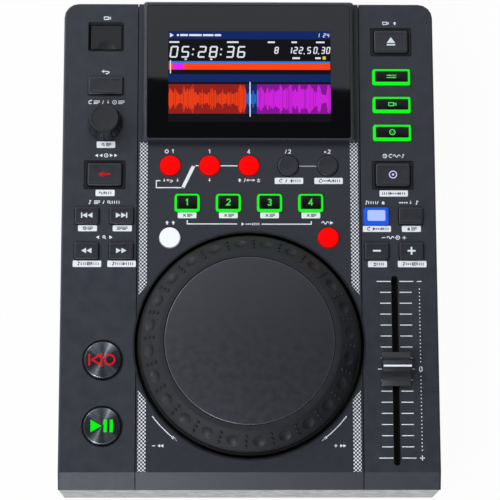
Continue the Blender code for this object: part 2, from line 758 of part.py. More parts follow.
def usb_socket(model, material):
    """An upright shell with a tongue inside, its mouth level with the pocket's floor."""
    top = DECK_Z - USB_POCKET_DEPTH
    foot = top - USB_SHELL_LENGTH
    width, depth = (size / 2 for size in USB_SHELL)
    bm = bmesh.new()
    add_box(bm, (-width, -depth, foot), (width, depth, top))
    socket = model.piece(bm, "usb_socket", material, (-COLUMN_X, USB_Y, 0))
    inner_x, inner_y = width - USB_SHELL_WALL, depth - USB_SHELL_WALL
    bm = bmesh.new()
    add_box(bm, (-inner_x, -inner_y, foot + USB_POCKET_WALL), (inner_x, inner_y, top + OVERRUN))
    model.cut(socket, bm, "usb_cavity", (-COLUMN_X, USB_Y, 0))
    bm = bmesh.new()
    half_x, half_y = (size / 2 for size in USB_TONGUE)
    low = (-half_x, USB_TONGUE_SHIFT - half_y, foot + USB_POCKET_WALL - SINK)
    add_box(bm, low, (half_x, USB_TONGUE_SHIFT + half_y, top - SINK))
    model.join(socket, bm, "usb_tongue", (-COLUMN_X, USB_Y, 0))
    return socket


def usb_lid(model, material):
    """A flap in the recess, hinged along its rear edge, with a thumb scoop at the front."""
    depth = USB_LID[1]
    half = USB_LID_THICKNESS / 2
    bm = bmesh.new()
    add_slab(bm, 0, half - depth / 2, USB_LID, -half, half)
    rear = [e for e in bm.edges if all(abs(v.co.y - half) < WELD for v in e.verts) and not upright(e)]
    round_edges(bm, rear, LID_EASE, 1)
    y, z = USB_Y + depth / 2 - half, DECK_Z - USB_LID_DEPTH - half
    lid = model.piece(bm, "usb_lid", material, (-COLUMN_X, y, z))
    bm = bmesh.new()
    add_dish(bm, LID_SCOOP_RADIUS, LID_SCOOP_DEPTH, 24, Matrix.Translation((0, half - depth, half)))
    model.cut(lid, bm, "lid_scoop", (-COLUMN_X, y, z))
    return lid


# Display
def display(model, body, glass, panel):
    """A raised block that frames a flush lens, with the display module in a window under it."""
    half = BLOCK_WIDTH / 2
    low, high = DECK_Z + GAP, DECK_Z + BLOCK_RISE
    bm = bmesh.new()
    verts = add_box(bm, (-half, REAR_Y - BLOCK_DEPTH, low), (half, REAR_Y, high))
    outline = [e for e in edges_of(verts) if level_at(e, high) or (upright(e) and e.verts[0].co.y > 0)]
    front = [e for e in outline if all(v.co.y < REAR_Y - BLOCK_DEPTH / 2 for v in e.verts)]
    round_edges(bm, [e for e in outline if e not in front], BLOCK_BEVEL, 4)
    housing = model.piece(bm, "display_housing", body)
    seat = high - LENS_THICKNESS - GAP
    lens_half = half - LENS_RIM
    lens_front = REAR_Y - BLOCK_DEPTH + LENS_RIM / 2
    lens_rear = REAR_Y - LENS_RIM
    plan = (2 * lens_half, lens_rear - lens_front, LENS_CORNER_RADIUS)
    middle = (lens_front + lens_rear) / 2
    bm = bmesh.new()
    add_slab(bm, 0, middle, grown(plan, GAP), seat, high + OVERRUN)
    model.cut(housing, bm, "lens_pocket")
    bm = bmesh.new()
    y = REAR_Y - LCD_ROW
    half_x, half_y = LCD_WIDTH / 2, LCD_DEPTH / 2
    add_box(
        bm,
        (-half_x - GAP, y - half_y - GAP, low - OVERRUN),
        (half_x + GAP, y + half_y + GAP, high + OVERRUN),
    )
    model.cut(housing, bm, "module_window")
    bm = bmesh.new()
    add_slab(bm, 0, middle, plan, high - LENS_THICKNESS, high)
    model.piece(bm, "display_lens", glass)
    bm = bmesh.new()
    add_box(bm, (-half_x, y - half_y, low), (half_x, y + half_y, seat))
    model.piece(bm, "display_module", panel)


# Jog wheel, well and bearing
def wheel_profile():
    """The wheel's section, from the bore's top round the outside, heights from the deck."""
    seat = PLATE_RISE - TOUCH_THICKNESS - GAP
    bore = SPINDLE_RADIUS + GAP
    pocket = TOUCH_RADIUS + TOUCH_GROOVE
    slope = (CONE_RADIUS - BAND_RADIUS) / (PLATE_RISE - CONE_FOOT_RISE)
    skirt = LIP_RADIUS - WHEEL_WALL
    web = seat - WHEEL_WALL
    aside = WHEEL_WALL * math.hypot(1, slope)
    return [
        (bore, seat),
        (pocket, seat),
        (pocket, PLATE_RISE),
        (BAND_RADIUS, PLATE_RISE),
        (CONE_RADIUS, CONE_FOOT_RISE),
        (CONE_RADIUS, LIP_RISE),
        (LIP_RADIUS, LIP_RISE),
        (LIP_RADIUS, -SKIRT_DROP),
        (skirt, -SKIRT_DROP),
        (skirt, PLATE_RISE - (skirt - BAND_RADIUS + aside) / slope),
        (BAND_RADIUS + (PLATE_RISE - web) * slope - aside, web),
        (HUB_RADIUS, web),
        (HUB_RADIUS, hub_foot()),
        (bore, hub_foot()),
    ]


def hub_foot():
    """The hub's lower end, a gap above the flange of the bearing on the well's floor."""
    return -WELL_DEPTH + GAP + BEARING_FLANGE_THICKNESS + GAP


def bearing_foot():
    return -WELL_DEPTH - WELL_WALL - BEARING_REACH


def cone_frame(angle, along):
    """A frame on the wheel's cone, Z out along its normal; along runs down the slope."""
    run, fall = CONE_RADIUS - BAND_RADIUS, PLATE_RISE - CONE_FOOT_RISE
    length = math.hypot(run, fall)
    radius = BAND_RADIUS + along * run / length
    height = PLATE_RISE - along * fall / length
    tilt = Matrix.Rotation(math.atan2(fall, run), 4, "Y")
    return Matrix.Rotation(angle, 4, "Z") @ Matrix.Translation((radius, 0, height)) @ tilt


def slope_length():
    return math.hypot(CONE_RADIUS - BAND_RADIUS, PLATE_RISE - CONE_FOOT_RISE)


def dimple_plugs():
    bm = bmesh.new()
    for index in range(DIMPLE_COUNT):
        frame = cone_frame(math.tau * index / DIMPLE_COUNT + DIMPLE_TURN, slope_length() / 2)
        add_dish(bm, DIMPLE_DIAMETER / 2, DIMPLE_DEPTH, 10, frame)
    return bm


def bump_row():
    """Balls half sunk in the cone, in rows down its slope between the dimples."""
    bm = bmesh.new()
    middle = slope_length() / 2
    for index in range(DIMPLE_COUNT):
        angle = math.tau * (index + 0.5) / DIMPLE_COUNT + DIMPLE_TURN
        for step in range(BUMPS_IN_ROW):
            along = middle + (step - (BUMPS_IN_ROW - 1) / 2) * BUMP_PITCH
            frame = cone_frame(angle, along)
            bmesh.ops.create_icosphere(bm, subdivisions=1, radius=BUMP_RADIUS, matrix=frame)
    return bm


def jog_wheel(model, rubber, plate, steel):
    centre = (0, JOG_Y, DECK_Z)
    wheel = model.turned(wheel_profile(), "jog_wheel", rubber, WHEEL_STEPS, centre, True)
    model.cut(wheel, dimple_plugs(), "dimples", centre)
    model.join(wheel, bump_row(), "bumps", centre)
    low = PLATE_RISE - TOUCH_THICKNESS
    disc = [
        (0, PLATE_RISE),
        (TOUCH_RADIUS - TOUCH_GROOVE, PLATE_RISE),
        (TOUCH_RADIUS, PLATE_RISE - TOUCH_GROOVE),
        (TOUCH_RADIUS, low),
        (0, low),
    ]
    model.turned(disc, "jog_touch_plate", plate, WHEEL_STEPS, centre)
    seat = low - 2 * GAP
    collar_top = bearing_foot() - GAP
    shaft = [
        (0, seat),
        (SPINDLE_RADIUS, seat),
        (SPINDLE_RADIUS, collar_top),
        (COLLAR_RADIUS, collar_top),
        (COLLAR_RADIUS, collar_top - COLLAR_THICKNESS),
        (0, collar_top - COLLAR_THICKNESS),
    ]
    model.turned(shaft, "jog_spindle", steel, SMALL_STEPS, centre)


def jog_bearing(model, bronze):
    """A flanged bush in the well's floor."""
    top = hub_foot() - GAP
    foot = top - BEARING_FLANGE_THICKNESS
    inner = SPINDLE_RADIUS + GAP
    section = [
        (inner, top),
        (BEARING_RADIUS + BEARING_FLANGE, top),
        (BEARING_RADIUS + BEARING_FLANGE, foot),
        (BEARING_RADIUS, foot),
        (BEARING_RADIUS, bearing_foot()),
        (inner, bearing_foot()),
    ]
    model.turned(section, "jog_bearing", bronze, SMALL_STEPS, (0, JOG_Y, DECK_Z), True)


# Browse knob
def browse_knob(model, rubber, steel):
    top = KNOB_CLEARANCE + KNOB_HEIGHT
    centre = (-COLUMN_X, BROWSE_Y, DECK_Z)
    bore = SHAFT_RADIUS + GAP
    rim = KNOB_TOP_RADIUS - KNOB_SKIRT_HEIGHT / 4
    body = [
        (0, top - KNOB_DISH),
        (rim, top - KNOB_DISH),
        (rim + KNOB_DISH, top),
        (KNOB_TOP_RADIUS - KNOB_DISH, top),
        (KNOB_TOP_RADIUS, top - KNOB_DISH),
        (KNOB_TOP_RADIUS + (KNOB_RADIUS - KNOB_TOP_RADIUS) / 2, KNOB_CLEARANCE + KNOB_SKIRT_HEIGHT),
        (KNOB_RADIUS, KNOB_CLEARANCE + KNOB_SKIRT_HEIGHT / 2),
        (KNOB_RADIUS, KNOB_CLEARANCE),
        (bore, KNOB_CLEARANCE),
        (bore, KNOB_CLEARANCE + SHAFT_REACH + GAP),
        (0, KNOB_CLEARANCE + SHAFT_REACH + GAP),
    ]
    knob = model.turned(body, "browse_knob", rubber, ROUND_STEPS, centre)
    bm = bmesh.new()
    for index in range(KNOB_GRIPS):
        angle = math.tau * index / KNOB_GRIPS
        reach = KNOB_RADIUS + KNOB_GRIP_RADIUS / 2
        x, y = reach * math.cos(angle), reach * math.sin(angle)
        add_post(bm, x, y, 0, KNOB_CLEARANCE + KNOB_HEIGHT / 2, KNOB_GRIP_RADIUS, 6)
    model.cut(knob, bm, "knob_grips", centre)
    foot = ENCODER_HEIGHT - BOARD_DROP - ENCODER_BORE_DEPTH + PUSH_TRAVEL + GAP
    shaft = [
        (0, KNOB_CLEARANCE + SHAFT_REACH),
        (SHAFT_RADIUS, KNOB_CLEARANCE + SHAFT_REACH),
        (SHAFT_RADIUS, foot),
        (0, foot),
    ]
    model.turned(shaft, "browse_shaft", steel, SMALL_STEPS, centre)


# Pitch fader
def cap_outline():
    """Half of the cap's side outline is a foot, a hollow slope and a ridge; it is then mirrored."""
    foot_half, ridge_half = CAP_LENGTH / 2, CAP_RIDGE / 2
    steps = 5
    half = [(foot_half, 0), (foot_half, CAP_FOOT)]
    for index in range(1, steps):
        turn = math.pi / 2 * index / steps
        y = ridge_half + (foot_half - ridge_half) * (1 - math.sin(turn))
        z = CAP_FOOT + (CAP_HEIGHT - CAP_FOOT) * (1 - math.cos(turn))
        half.append((y, z))
    half.append((ridge_half, CAP_HEIGHT))
    return half + [(-y, z) for y, z in reversed(half)]


def prism(outline, width):
    """A flat outline given as (y, z) points, made a solid of this width along X."""
    curve = bpy.data.curves.new("outline", "CURVE")
    curve.dimensions = "2D"
    curve.fill_mode = "BOTH"
    curve.extrude = width / 2
    spline = curve.splines.new("POLY")
    spline.points.add(len(outline) - 1)
    for point, (y, z) in zip(spline.points, outline):
        point.co = (y, z, 0, 1)
    spline.use_cyclic_u = True
    guide = bpy.data.objects.new("outline", curve)
    bpy.context.scene.collection.objects.link(guide)
    mesh = bpy.data.meshes.new_from_object(guide.evaluated_get(bpy.context.evaluated_depsgraph_get()))
    bm = bmesh.new()
    bm.from_mesh(mesh)
    bmesh.ops.remove_doubles(bm, verts=bm.verts[:], dist=WELD)
    upend = Matrix(((0, 0, 1, 0), (1, 0, 0, 0), (0, 1, 0, 0), (0, 0, 0, 1)))
    bmesh.ops.transform(bm, matrix=upend, verts=bm.verts[:])
    bpy.data.objects.remove(guide)
    bpy.data.meshes.remove(mesh)
    bpy.data.curves.remove(curve)
    return bm


def pitch_fader(model, plastic, steel, body):
    x, y = COLUMN_X, FADER_Y
    cap = model.piece(prism(cap_outline(), CAP_WIDTH), "pitch_cap", plastic, (x, y, DECK_Z + CAP_LIFT))
    bm = bmesh.new()
    half_x, half_y = LEVER_THICKNESS / 2 + GAP, LEVER_LENGTH / 2 + GAP
    add_box(bm, (-half_x, -half_y, -OVERRUN), (half_x, half_y, CAP_POCKET_DEPTH + GAP))
    model.cut(cap, bm, "cap_pocket", (x, y, DECK_Z + CAP_LIFT))
    body_top = CEILING_Z - GAP
    half_x, half_y = LEVER_THICKNESS / 2, LEVER_LENGTH / 2
    bm = bmesh.new()
    low = (x - half_x, y - half_y, body_top - LEVER_DROP)
    add_box(bm, low, (x + half_x, y + half_y, DECK_Z + CAP_LIFT + CAP_POCKET_DEPTH))
    model.piece(bm, "pitch_lever", steel)
    run = FADER_TRAVEL + half_y + GAP
    long_half = run + FADER_BODY_MARGIN
    bm = bmesh.new()
    low = (x - FADER_BODY_WIDTH / 2, y - long_half, body_top - FADER_BODY_HEIGHT)
    add_box(bm, low, (x + FADER_BODY_WIDTH / 2, y + long_half, body_top))
    track = model.piece(bm, "pitch_fader_body", body)
    bm = bmesh.new()
    floor = body_top - LEVER_DROP - GAP
    add_box(bm, (x - half_x - GAP, y - run, floor), (x + half_x + GAP, y + run, body_top + OVERRUN))
    model.cut(track, bm, "fader_track")


# Circuit boards and switches
def side_board_rows(side):
    """Rear and front edges of a side board, as distances from the rear of the body."""
    if side == "left":
        return BACK_ROW - BOARD_MARGIN, PLAY_ROW + BOARD_MARGIN
    return EJECT_ROW - BOARD_MARGIN, LOWER_PAIR_ROW + BOARD_MARGIN


def side_boss_spots(side):
    """Bosses at the board's rear corners and between two rows of buttons further forward."""
    rear, front = side_board_rows(side)
    sign = -1 if side == "left" else 1
    outer = HALF_WIDTH - CASE_WALL - BOARD_INSET - BOSS_RADIUS
    inner = SEAM_X + BOARD_SEAM_MARGIN + BOSS_RADIUS
    inset = BOSS_RADIUS + GAP
    spots = [(sign * x, REAR_Y - rear - inset) for x in (outer, inner)]
    if side == "left":
        spots.append((sign * outer, REAR_Y - (LOWER_PAIR_ROW + CUE_ROW) / 2))
        spots.append((sign * outer, REAR_Y - front + inset))
    else:
        between = (MODE_ROW + 2 * MODE_PITCH + WIDE_ROW) / 2
        spots += [(sign * x, REAR_Y - between) for x in (outer, inner)]
    return spots


def centre_boss_spots():
    edge = SEAM_X - COVER_WALL - BOARD_SEAM_MARGIN - BOSS_RADIUS
    rear = REAR_Y - LOOP_ROW + BOARD_MARGIN - BOSS_RADIUS
    front = REAR_Y - SHIFT_ROW + LOOP_DIAMETER / 2 + 2 * BOSS_RADIUS
    return [(sign * edge, y) for sign in (-1, 1) for y in (rear, front)]


def board(model, name, material, low, high, spots):
    """A circuit board cut clear of the jog well, with a switch under each button."""
    bm = bmesh.new()
    add_box(bm, (low[0], low[1], BOARD_Z - BOARD_THICKNESS), (high[0], high[1], BOARD_Z))
    made = model.piece(bm, name, material)
    bm = bmesh.new()
    radius = WELL_RADIUS + WELL_FLANGE + WELL_CLEARANCE
    add_post(bm, 0, JOG_Y, BOARD_Z - OVERRUN, BOARD_Z + OVERRUN, radius, WHEEL_STEPS)
    model.cut(made, bm, f"{name}_clearance")
    bm = bmesh.new()
    half = SWITCH_WIDTH / 2
    for x, row in spots:
        y = REAR_Y - row
        add_box(bm, (x - half, y - half, BOARD_Z - SINK), (x + half, y + half, BOARD_Z + SWITCH_HEIGHT))
    model.join(made, bm, f"{name}_switches")
    return made


def boards(model, material, zones):
    outer = HALF_WIDTH - CASE_WALL - BOARD_INSET
    inner = SEAM_X + BOARD_SEAM_MARGIN
    for side, sign in (("left", -1), ("right", 1)):
        rear, front = side_board_rows(side)
        xs = sorted((sign * outer, sign * inner))
        spots = [entry[0] for entry in zones[side].values()]
        made = board(
            model, f"{side}_board", material, (xs[0], REAR_Y - front), (xs[1], REAR_Y - rear), spots
        )
        if side == "left":
            add_encoder(model, made)
    edge = SEAM_X - COVER_WALL - BOARD_SEAM_MARGIN
    low = (-edge, REAR_Y - SHIFT_ROW - BOARD_MARGIN)
    high = (edge, REAR_Y - LOOP_ROW + BOARD_MARGIN)
    board(model, "centre_board", material, low, high, [entry[0] for entry in zones["centre"].values()])


def add_encoder(model, made):
    """The browse encoder's body, soldered on the left board, with a bore for the shaft."""
    bm = bmesh.new()
    half = ENCODER_WIDTH / 2
    low = (-COLUMN_X - half, BROWSE_Y - half, BOARD_Z - SINK)
    add_box(bm, low, (-COLUMN_X + half, BROWSE_Y + half, BOARD_Z + ENCODER_HEIGHT))
    model.join(made, bm, "encoder_body")
    bm = bmesh.new()
    bore_foot = BOARD_Z + ENCODER_HEIGHT - ENCODER_BORE_DEPTH
    bore_top = BOARD_Z + ENCODER_HEIGHT + OVERRUN
    add_post(bm, -COLUMN_X, BROWSE_Y, bore_foot, bore_top, SHAFT_RADIUS + GAP)
    model.cut(made, bm, "encoder_bore")


# Bottom case
def case_posts():
    """Each post's place, foot and top: screw posts at the corners, seam posts and well posts."""
    posts = []
    x = HALF_WIDTH - POST_INSET
    for sign in (-1, 1):
        posts.append((sign * x, REAR_Y - POST_INSET + POST_RADIUS / 2, CEILING_Z - GAP))
        posts.append((sign * x, FRONT_Y + CHAMFER_RUN + POST_RADIUS + GAP, CEILING_Z - GAP))
        posts.append((sign * SEAM_X, REAR_Y - SEAM_POST_ROW, PART_Z - GAP))
    for index in range(WELL_POSTS):
        angle = math.tau * (index + 0.75) / WELL_POSTS
        px, py = WELL_POST_RADIUS * math.cos(angle), JOG_Y + WELL_POST_RADIUS * math.sin(angle)
        posts.append((px, py, DECK_Z - WELL_DEPTH - WELL_WALL - GAP))
    return posts


def main_board_box():
    rear = REAR_Y - CASE_WALL - MAIN_BOARD_GAP
    low_z = FLOOR_Z + MAIN_BOARD_LIFT + GAP
    low, high = (MAIN_BOARD_X + sign * MAIN_BOARD_WIDTH / 2 for sign in (-1, 1))
    return (low, rear - MAIN_BOARD_DEPTH, low_z), (high, rear, low_z + BOARD_THICKNESS)


def usb_board_box():
    width, depth = USB_BOARD
    top = DECK_Z - USB_POCKET_DEPTH - USB_SHELL_LENGTH - GAP
    low = (-COLUMN_X - width / 2, USB_Y - depth / 2, top - BOARD_THICKNESS)
    return low, (-COLUMN_X + width / 2, USB_Y + depth / 2, top)


def board_posts():
    low, high = main_board_box()
    inset = 2 * POST_RADIUS
    xs, ys = (low[0] + inset, high[0] - inset), (low[1] + inset, high[1] - inset)
    posts = [(x, y, low[2] - GAP) for x in xs for y in ys]
    low, high = usb_board_box()
    inset = POST_RADIUS + GAP
    posts += [(x, low[1] + inset, low[2] - GAP) for x in (low[0] + inset, high[0] - inset)]
    return posts


def bottom_case(model, material):
    bm = bmesh.new()
    verts = add_box(bm, (-HALF_WIDTH, FRONT_Y, FOOT_HEIGHT), (HALF_WIDTH, REAR_Y, RIM_Z))
    edges = edges_of(verts)
    round_edges(bm, [e for e in edges if upright(e) and e.verts[0].co.y > 0], REAR_CORNER_RADIUS, 4)
    round_edges(bm, [e for e in bm.edges if upright(e) and e.verts[0].co.y < 0], EDGE_ROUND, 2)
    round_edges(bm, [e for e in bm.edges if level_at(e, FOOT_HEIGHT)], CASE_BOTTOM_ROUND, 2)
    for vert in bm.verts:
        fall = (RIM_Z - vert.co.z) / (RIM_Z - FOOT_HEIGHT)
        vert.co.x *= 1 - fall * CASE_DRAFT / HALF_WIDTH
    case = model.piece(bm, "bottom_case", material)
    bm = bmesh.new()
    inner = HALF_WIDTH - CASE_WALL - CASE_DRAFT
    low = (-inner, FRONT_Y + CASE_WALL, FLOOR_Z)
    verts = add_box(bm, low, (inner, REAR_Y - CASE_WALL, RIM_Z + OVERRUN))
    rear = [e for e in edges_of(verts) if upright(e) and e.verts[0].co.y > 0]
    round_edges(bm, rear, REAR_CORNER_RADIUS - CASE_WALL, 3)
    model.cut(case, bm, "case_hollow")
    bm = bmesh.new()
    for x, y, top in case_posts() + board_posts():
        add_post(bm, x, y, FLOOR_Z - SINK, top, POST_RADIUS, POST_STEPS)
    model.join(case, bm, "case_posts")
    bm = bmesh.new()
    well_top = FOOT_HEIGHT + SCREW_WELL_DEPTH
    for x, y, _top in case_posts():
        add_post(bm, x, y, FOOT_HEIGHT - OVERRUN, well_top, SCREW_WELL_RADIUS, POST_STEPS)
    model.cut(case, bm, "screw_wells")
    model.cut(case, rear_cutouts(), "rear_cutouts")
    return case


def rear_cutouts():
    bm = bmesh.new()
    inside, outside = REAR_Y - CASE_WALL - OVERRUN, REAR_Y + OVERRUN
    for sign in (-1, 1):
        x = JACK_X + sign * JACK_PITCH / 2
        add_rear_post(bm, x, jack_z(), inside, outside, JACK_RADIUS + GAP)
    add_rear_post(bm, INLET_X, inlet_z(), inside, outside, INLET_RADIUS + GAP)
    width, _length, height = SOCKET_SHELL
    low = (SOCKET_X - width / 2 - GAP, inside, socket_z() - height / 2 - GAP)
    add_box(bm, low, (SOCKET_X + width / 2 + GAP, outside, socket_z() + height / 2 + GAP))
    width, _length, height = SWITCH_BODY
    low = (SWITCH_X - width / 2 - GAP, inside, switch_z() - height / 2 - GAP)
    add_box(bm, low, (SWITCH_X + width / 2 + GAP, outside, switch_z() + height / 2 + GAP))
    width, height = LOCK_SLOT
    low = (LOCK_X - width / 2, inside, switch_z() - height / 2)
    add_box(bm, low, (LOCK_X + width / 2, outside, switch_z() + height / 2))
    return bm


def board_top():
    return main_board_box()[1][2] + GAP


def jack_z():
    return board_top() + JACK_BLOCK[2] / 2


def inlet_z():
    return board_top() + INLET_BLOCK[2] / 2


def socket_z():
    return board_top() + SOCKET_SHELL[2] / 2


def switch_z():
    return (FLOOR_Z + RIM_Z) / 2


# Rear connectors
def rear_connectors(model, black, brass, steel):
    inner = REAR_Y - CASE_WALL - GAP
    width, depth, height = JACK_BLOCK
    bm = bmesh.new()
    low = (JACK_X - width / 2, inner - depth, board_top())
    add_box(bm, low, (JACK_X + width / 2, inner, board_top() + height))
    jacks = model.piece(bm, "audio_jacks", brass)
    barrels, bores = bmesh.new(), bmesh.new()
    mouth = REAR_Y + JACK_REACH
    bore_end = mouth - JACK_BORE_DEPTH
    for sign in (-1, 1):
        x = JACK_X + sign * JACK_PITCH / 2
        add_rear_post(barrels, x, jack_z(), inner - SINK, mouth, JACK_RADIUS)
        add_rear_post(bores, x, jack_z(), bore_end, mouth + OVERRUN, JACK_BORE_RADIUS, POST_STEPS)
    model.join(jacks, barrels, "jack_barrels")
    model.cut(jacks, bores, "jack_bores")

    width, depth, height = INLET_BLOCK
    bm = bmesh.new()
    low = (INLET_X - width / 2, inner - depth, board_top())
    add_box(bm, low, (INLET_X + width / 2, inner, board_top() + height))
    inlet = model.piece(bm, "power_inlet", black)
    parts = (("inlet_nose", inner - SINK, REAR_Y + GAP, INLET_RADIUS, "join"),)
    parts += (("inlet_bore", REAR_Y - INLET_BORE_DEPTH, REAR_Y + OVERRUN, INLET_BORE_RADIUS, "cut"),)
    parts += (("inlet_pin", REAR_Y - INLET_BORE_DEPTH - SINK, REAR_Y - SINK, INLET_PIN_RADIUS, "join"),)
    for name, front, rear, radius, action in parts:
        bm = bmesh.new()
        add_rear_post(bm, INLET_X, inlet_z(), front, rear, radius)
        getattr(model, action)(inlet, bm, name)

    width, depth, height = SOCKET_SHELL
    z = socket_z()
    bm = bmesh.new()
    low = (SOCKET_X - width / 2, REAR_Y - depth, z - height / 2)
    add_box(bm, low, (SOCKET_X + width / 2, REAR_Y + GAP, z + height / 2))
    socket = model.piece(bm, "computer_socket", steel)
    for name, size, action, reach in (
        ("socket_cavity", SOCKET_CAVITY, "cut", OVERRUN),
        ("socket_tongue", SOCKET_TONGUE, "join", -SINK),
    ):
        width, depth, height = size
        deep = SOCKET_CAVITY[1] + (SINK if action == "join" else 0)
        bm = bmesh.new()
        low = (SOCKET_X - width / 2, REAR_Y - deep, z - height / 2)
        add_box(bm, low, (SOCKET_X + width / 2, REAR_Y + reach, z + height / 2))
        getattr(model, action)(socket, bm, name)


def rocker_reach():
    """The farthest that a corner of the rocker swings from its pivot."""
    return math.hypot(ROCKER_SIZE[0] / 2, ROCKER_RISE + ROCKER_PIVOT_DEPTH)


def power_switch(model, black, light):
    """A snap-in switch body with a rocker that tilts about an upright pin."""
    z = switch_z()
    width, depth, height = SWITCH_FRAME
    bm = bmesh.new()
    add_box(bm, (-width / 2, GAP, -height / 2), (width / 2, GAP + depth, height / 2))
    body = model.piece(bm, "power_switch_body", black, (SWITCH_X, REAR_Y, z))
    width, depth_in, height = SWITCH_BODY
    bm = bmesh.new()
    add_box(bm, (-width / 2, -depth_in, -height / 2), (width / 2, GAP + SINK, height / 2))
    model.join(body, bm, "switch_box", (SWITCH_X, REAR_Y, z))
    face = GAP + depth
    pivot_y = face - ROCKER_PIVOT_DEPTH
    hollow = rocker_reach() + ROCKER_GAP
    bm = bmesh.new()
    low = (-hollow, pivot_y - ROCKER_BELLY - ROCKER_GAP, -ROCKER_SIZE[1] / 2 - ROCKER_GAP)
    add_box(bm, low, (hollow, face + OVERRUN, ROCKER_SIZE[1] / 2 + ROCKER_GAP))
    model.cut(body, bm, "switch_hollow", (SWITCH_X, REAR_Y, z))
    half = ROCKER_SIZE[0] / 2
    tip, valley = ROCKER_PIVOT_DEPTH + ROCKER_RISE, ROCKER_PIVOT_DEPTH + ROCKER_RISE - ROCKER_VALLEY
    outline = [(half, tip), (0, valley), (-half, tip)]
    outline += [
        (-ROCKER_BELLY * math.sin(turn), -ROCKER_BELLY * math.cos(turn))
        for turn in (math.radians(step) for step in range(75, -76, -30))
    ]
    bm = prism(outline, ROCKER_SIZE[1])
    lay = Matrix(((0, 1, 0, 0), (0, 0, 1, 0), (1, 0, 0, 0), (0, 0, 0, 1)))
    bmesh.ops.transform(bm, matrix=lay, verts=bm.verts[:])
    rocker = model.piece(bm, "power_rocker", light, (SWITCH_X, REAR_Y + pivot_y, z))
    rocker.rotation_euler = (0, 0, ROCKER_TILT)


def flat_boards(model, material):
    for name, corners in (("main_board", main_board_box()), ("usb_board", usb_board_box())):
        bm = bmesh.new()
        add_box(bm, *corners)
        model.piece(bm, name, material)


def feet(model, material):
    x = HALF_WIDTH - FOOT_INSET_X
    profile = [
        (0, FOOT_HEIGHT - GAP),
        (FOOT_RADIUS, FOOT_HEIGHT - GAP),
        (FOOT_RADIUS - FOOT_TAPER, 0),
        (0, 0),
    ]
    for row, y in (("front", FRONT_Y + FOOT_INSET_Y), ("rear", REAR_Y - FOOT_INSET_Y)):
        for side, sign in (("left", -1), ("right", 1)):
            model.turned(profile, f"foot_{row}_{side}", material, ROUND_STEPS, (sign * x, y, 0))


def build():
    for old in list(bpy.data.objects):
        bpy.data.objects.remove(old)
    model = Model()
    satin = finish("satin_black", (0.045, 0.046, 0.052), 0.35)
    grain = finish("grained_black", (0.040, 0.041, 0.046), 0.5)
    rubber = finish("soft_black", (0.030, 0.031, 0.034), 0.55)
    gloss = finish("gloss_black", (0.012, 0.013, 0.016), 0.12)
    glass = finish("smoked_lens", (0.02, 0.02, 0.025), 0.05, 0.0, 0.6)
    panel = finish("display_panel", (0.01, 0.02, 0.10), 0.3)
    steel = finish("steel", (0.60, 0.60, 0.62), 0.3, 1.0)
    bronze = finish("bronze", (0.55, 0.38, 0.20), 0.4, 1.0)
    green_board = finish("circuit_board", (0.02, 0.12, 0.05), 0.5)
    caps = {
        "dark": finish("dark_cap", (0.042, 0.044, 0.050), 0.4),
        "metal": finish("spun_cap", (0.25, 0.25, 0.27), 0.3, 0.8),
        "blue": finish("blue_cap", (0.03, 0.10, 0.80), 0.4),
        "green": finish("green_cap", (0.02, 0.80, 0.05), 0.4),
        "red": finish("red_cap", (0.90, 0.0, 0.0), 0.4),
        "white": finish("white_cap", (0.85, 0.87, 0.95), 0.4),
    }
    layout = button_layout()
    zones = control_zones(layout)
    bottom_case(model, satin)
    left_cover(model, grain, zones["left"])
    centre_cover(model, satin, zones["centre"])
    right_cover(model, grain, zones["right"])
    display(model, satin, glass, panel)
    jog_bearing(model, bronze)
    jog_wheel(model, rubber, satin, steel)
    browse_knob(model, rubber, steel)
    pitch_fader(model, rubber, steel, gloss)
    usb_socket(model, steel)
    usb_lid(model, gloss)
    boards(model, green_board, zones)
    flat_boards(model, green_board)
    rear_connectors(model, gloss, gloss, steel)
    power_switch(model, gloss, rubber)
    feet(model, rubber)
    for name, (place, plan, rise, colour) in layout.items():
        button(model, name, caps[colour], place, plan, rise)


build()
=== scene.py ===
"""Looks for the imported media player: finer pieces, printed marks, materials, studio and camera."""

import random
from math import cos, hypot, pi, radians, sin, sqrt, tau as TAU

import bmesh
import bpy
from mathutils import Matrix, Vector


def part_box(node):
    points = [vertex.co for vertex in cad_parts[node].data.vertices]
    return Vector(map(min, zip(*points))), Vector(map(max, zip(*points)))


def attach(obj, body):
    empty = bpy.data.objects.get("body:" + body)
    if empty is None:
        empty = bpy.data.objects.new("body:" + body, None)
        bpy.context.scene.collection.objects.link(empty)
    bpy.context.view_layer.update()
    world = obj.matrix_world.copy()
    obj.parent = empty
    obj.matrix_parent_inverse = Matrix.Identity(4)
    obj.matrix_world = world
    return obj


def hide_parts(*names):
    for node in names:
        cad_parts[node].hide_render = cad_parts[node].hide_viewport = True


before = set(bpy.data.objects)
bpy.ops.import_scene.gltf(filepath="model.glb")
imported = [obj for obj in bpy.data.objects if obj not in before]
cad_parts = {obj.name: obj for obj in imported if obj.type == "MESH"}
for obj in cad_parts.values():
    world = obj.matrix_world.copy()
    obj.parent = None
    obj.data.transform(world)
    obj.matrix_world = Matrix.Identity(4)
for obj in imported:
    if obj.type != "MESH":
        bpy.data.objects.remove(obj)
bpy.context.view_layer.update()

MM = 0.001
INK = 0.05 * MM  # twice the depth to which a printed mark is let in
FILM = 0.02 * MM  # how far it stands proud
BROAD = 14  # how much coarser a paint's broad noise is than its fine grain
SHADE_DEPTH = 0.25 * MM  # from this depth down, inside the holes, the covers get painted shade
SKIN = 1.6 * MM
CHAMFER_RUN = 11 * MM
WELL_R = 66.95 * MM


def mm(*values):
    return tuple(value * MM for value in values)


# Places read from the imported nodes
def middle(node):
    low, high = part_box(node)
    return (low + high) / 2


def heights(node):
    low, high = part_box(node)
    return low.z, high.z


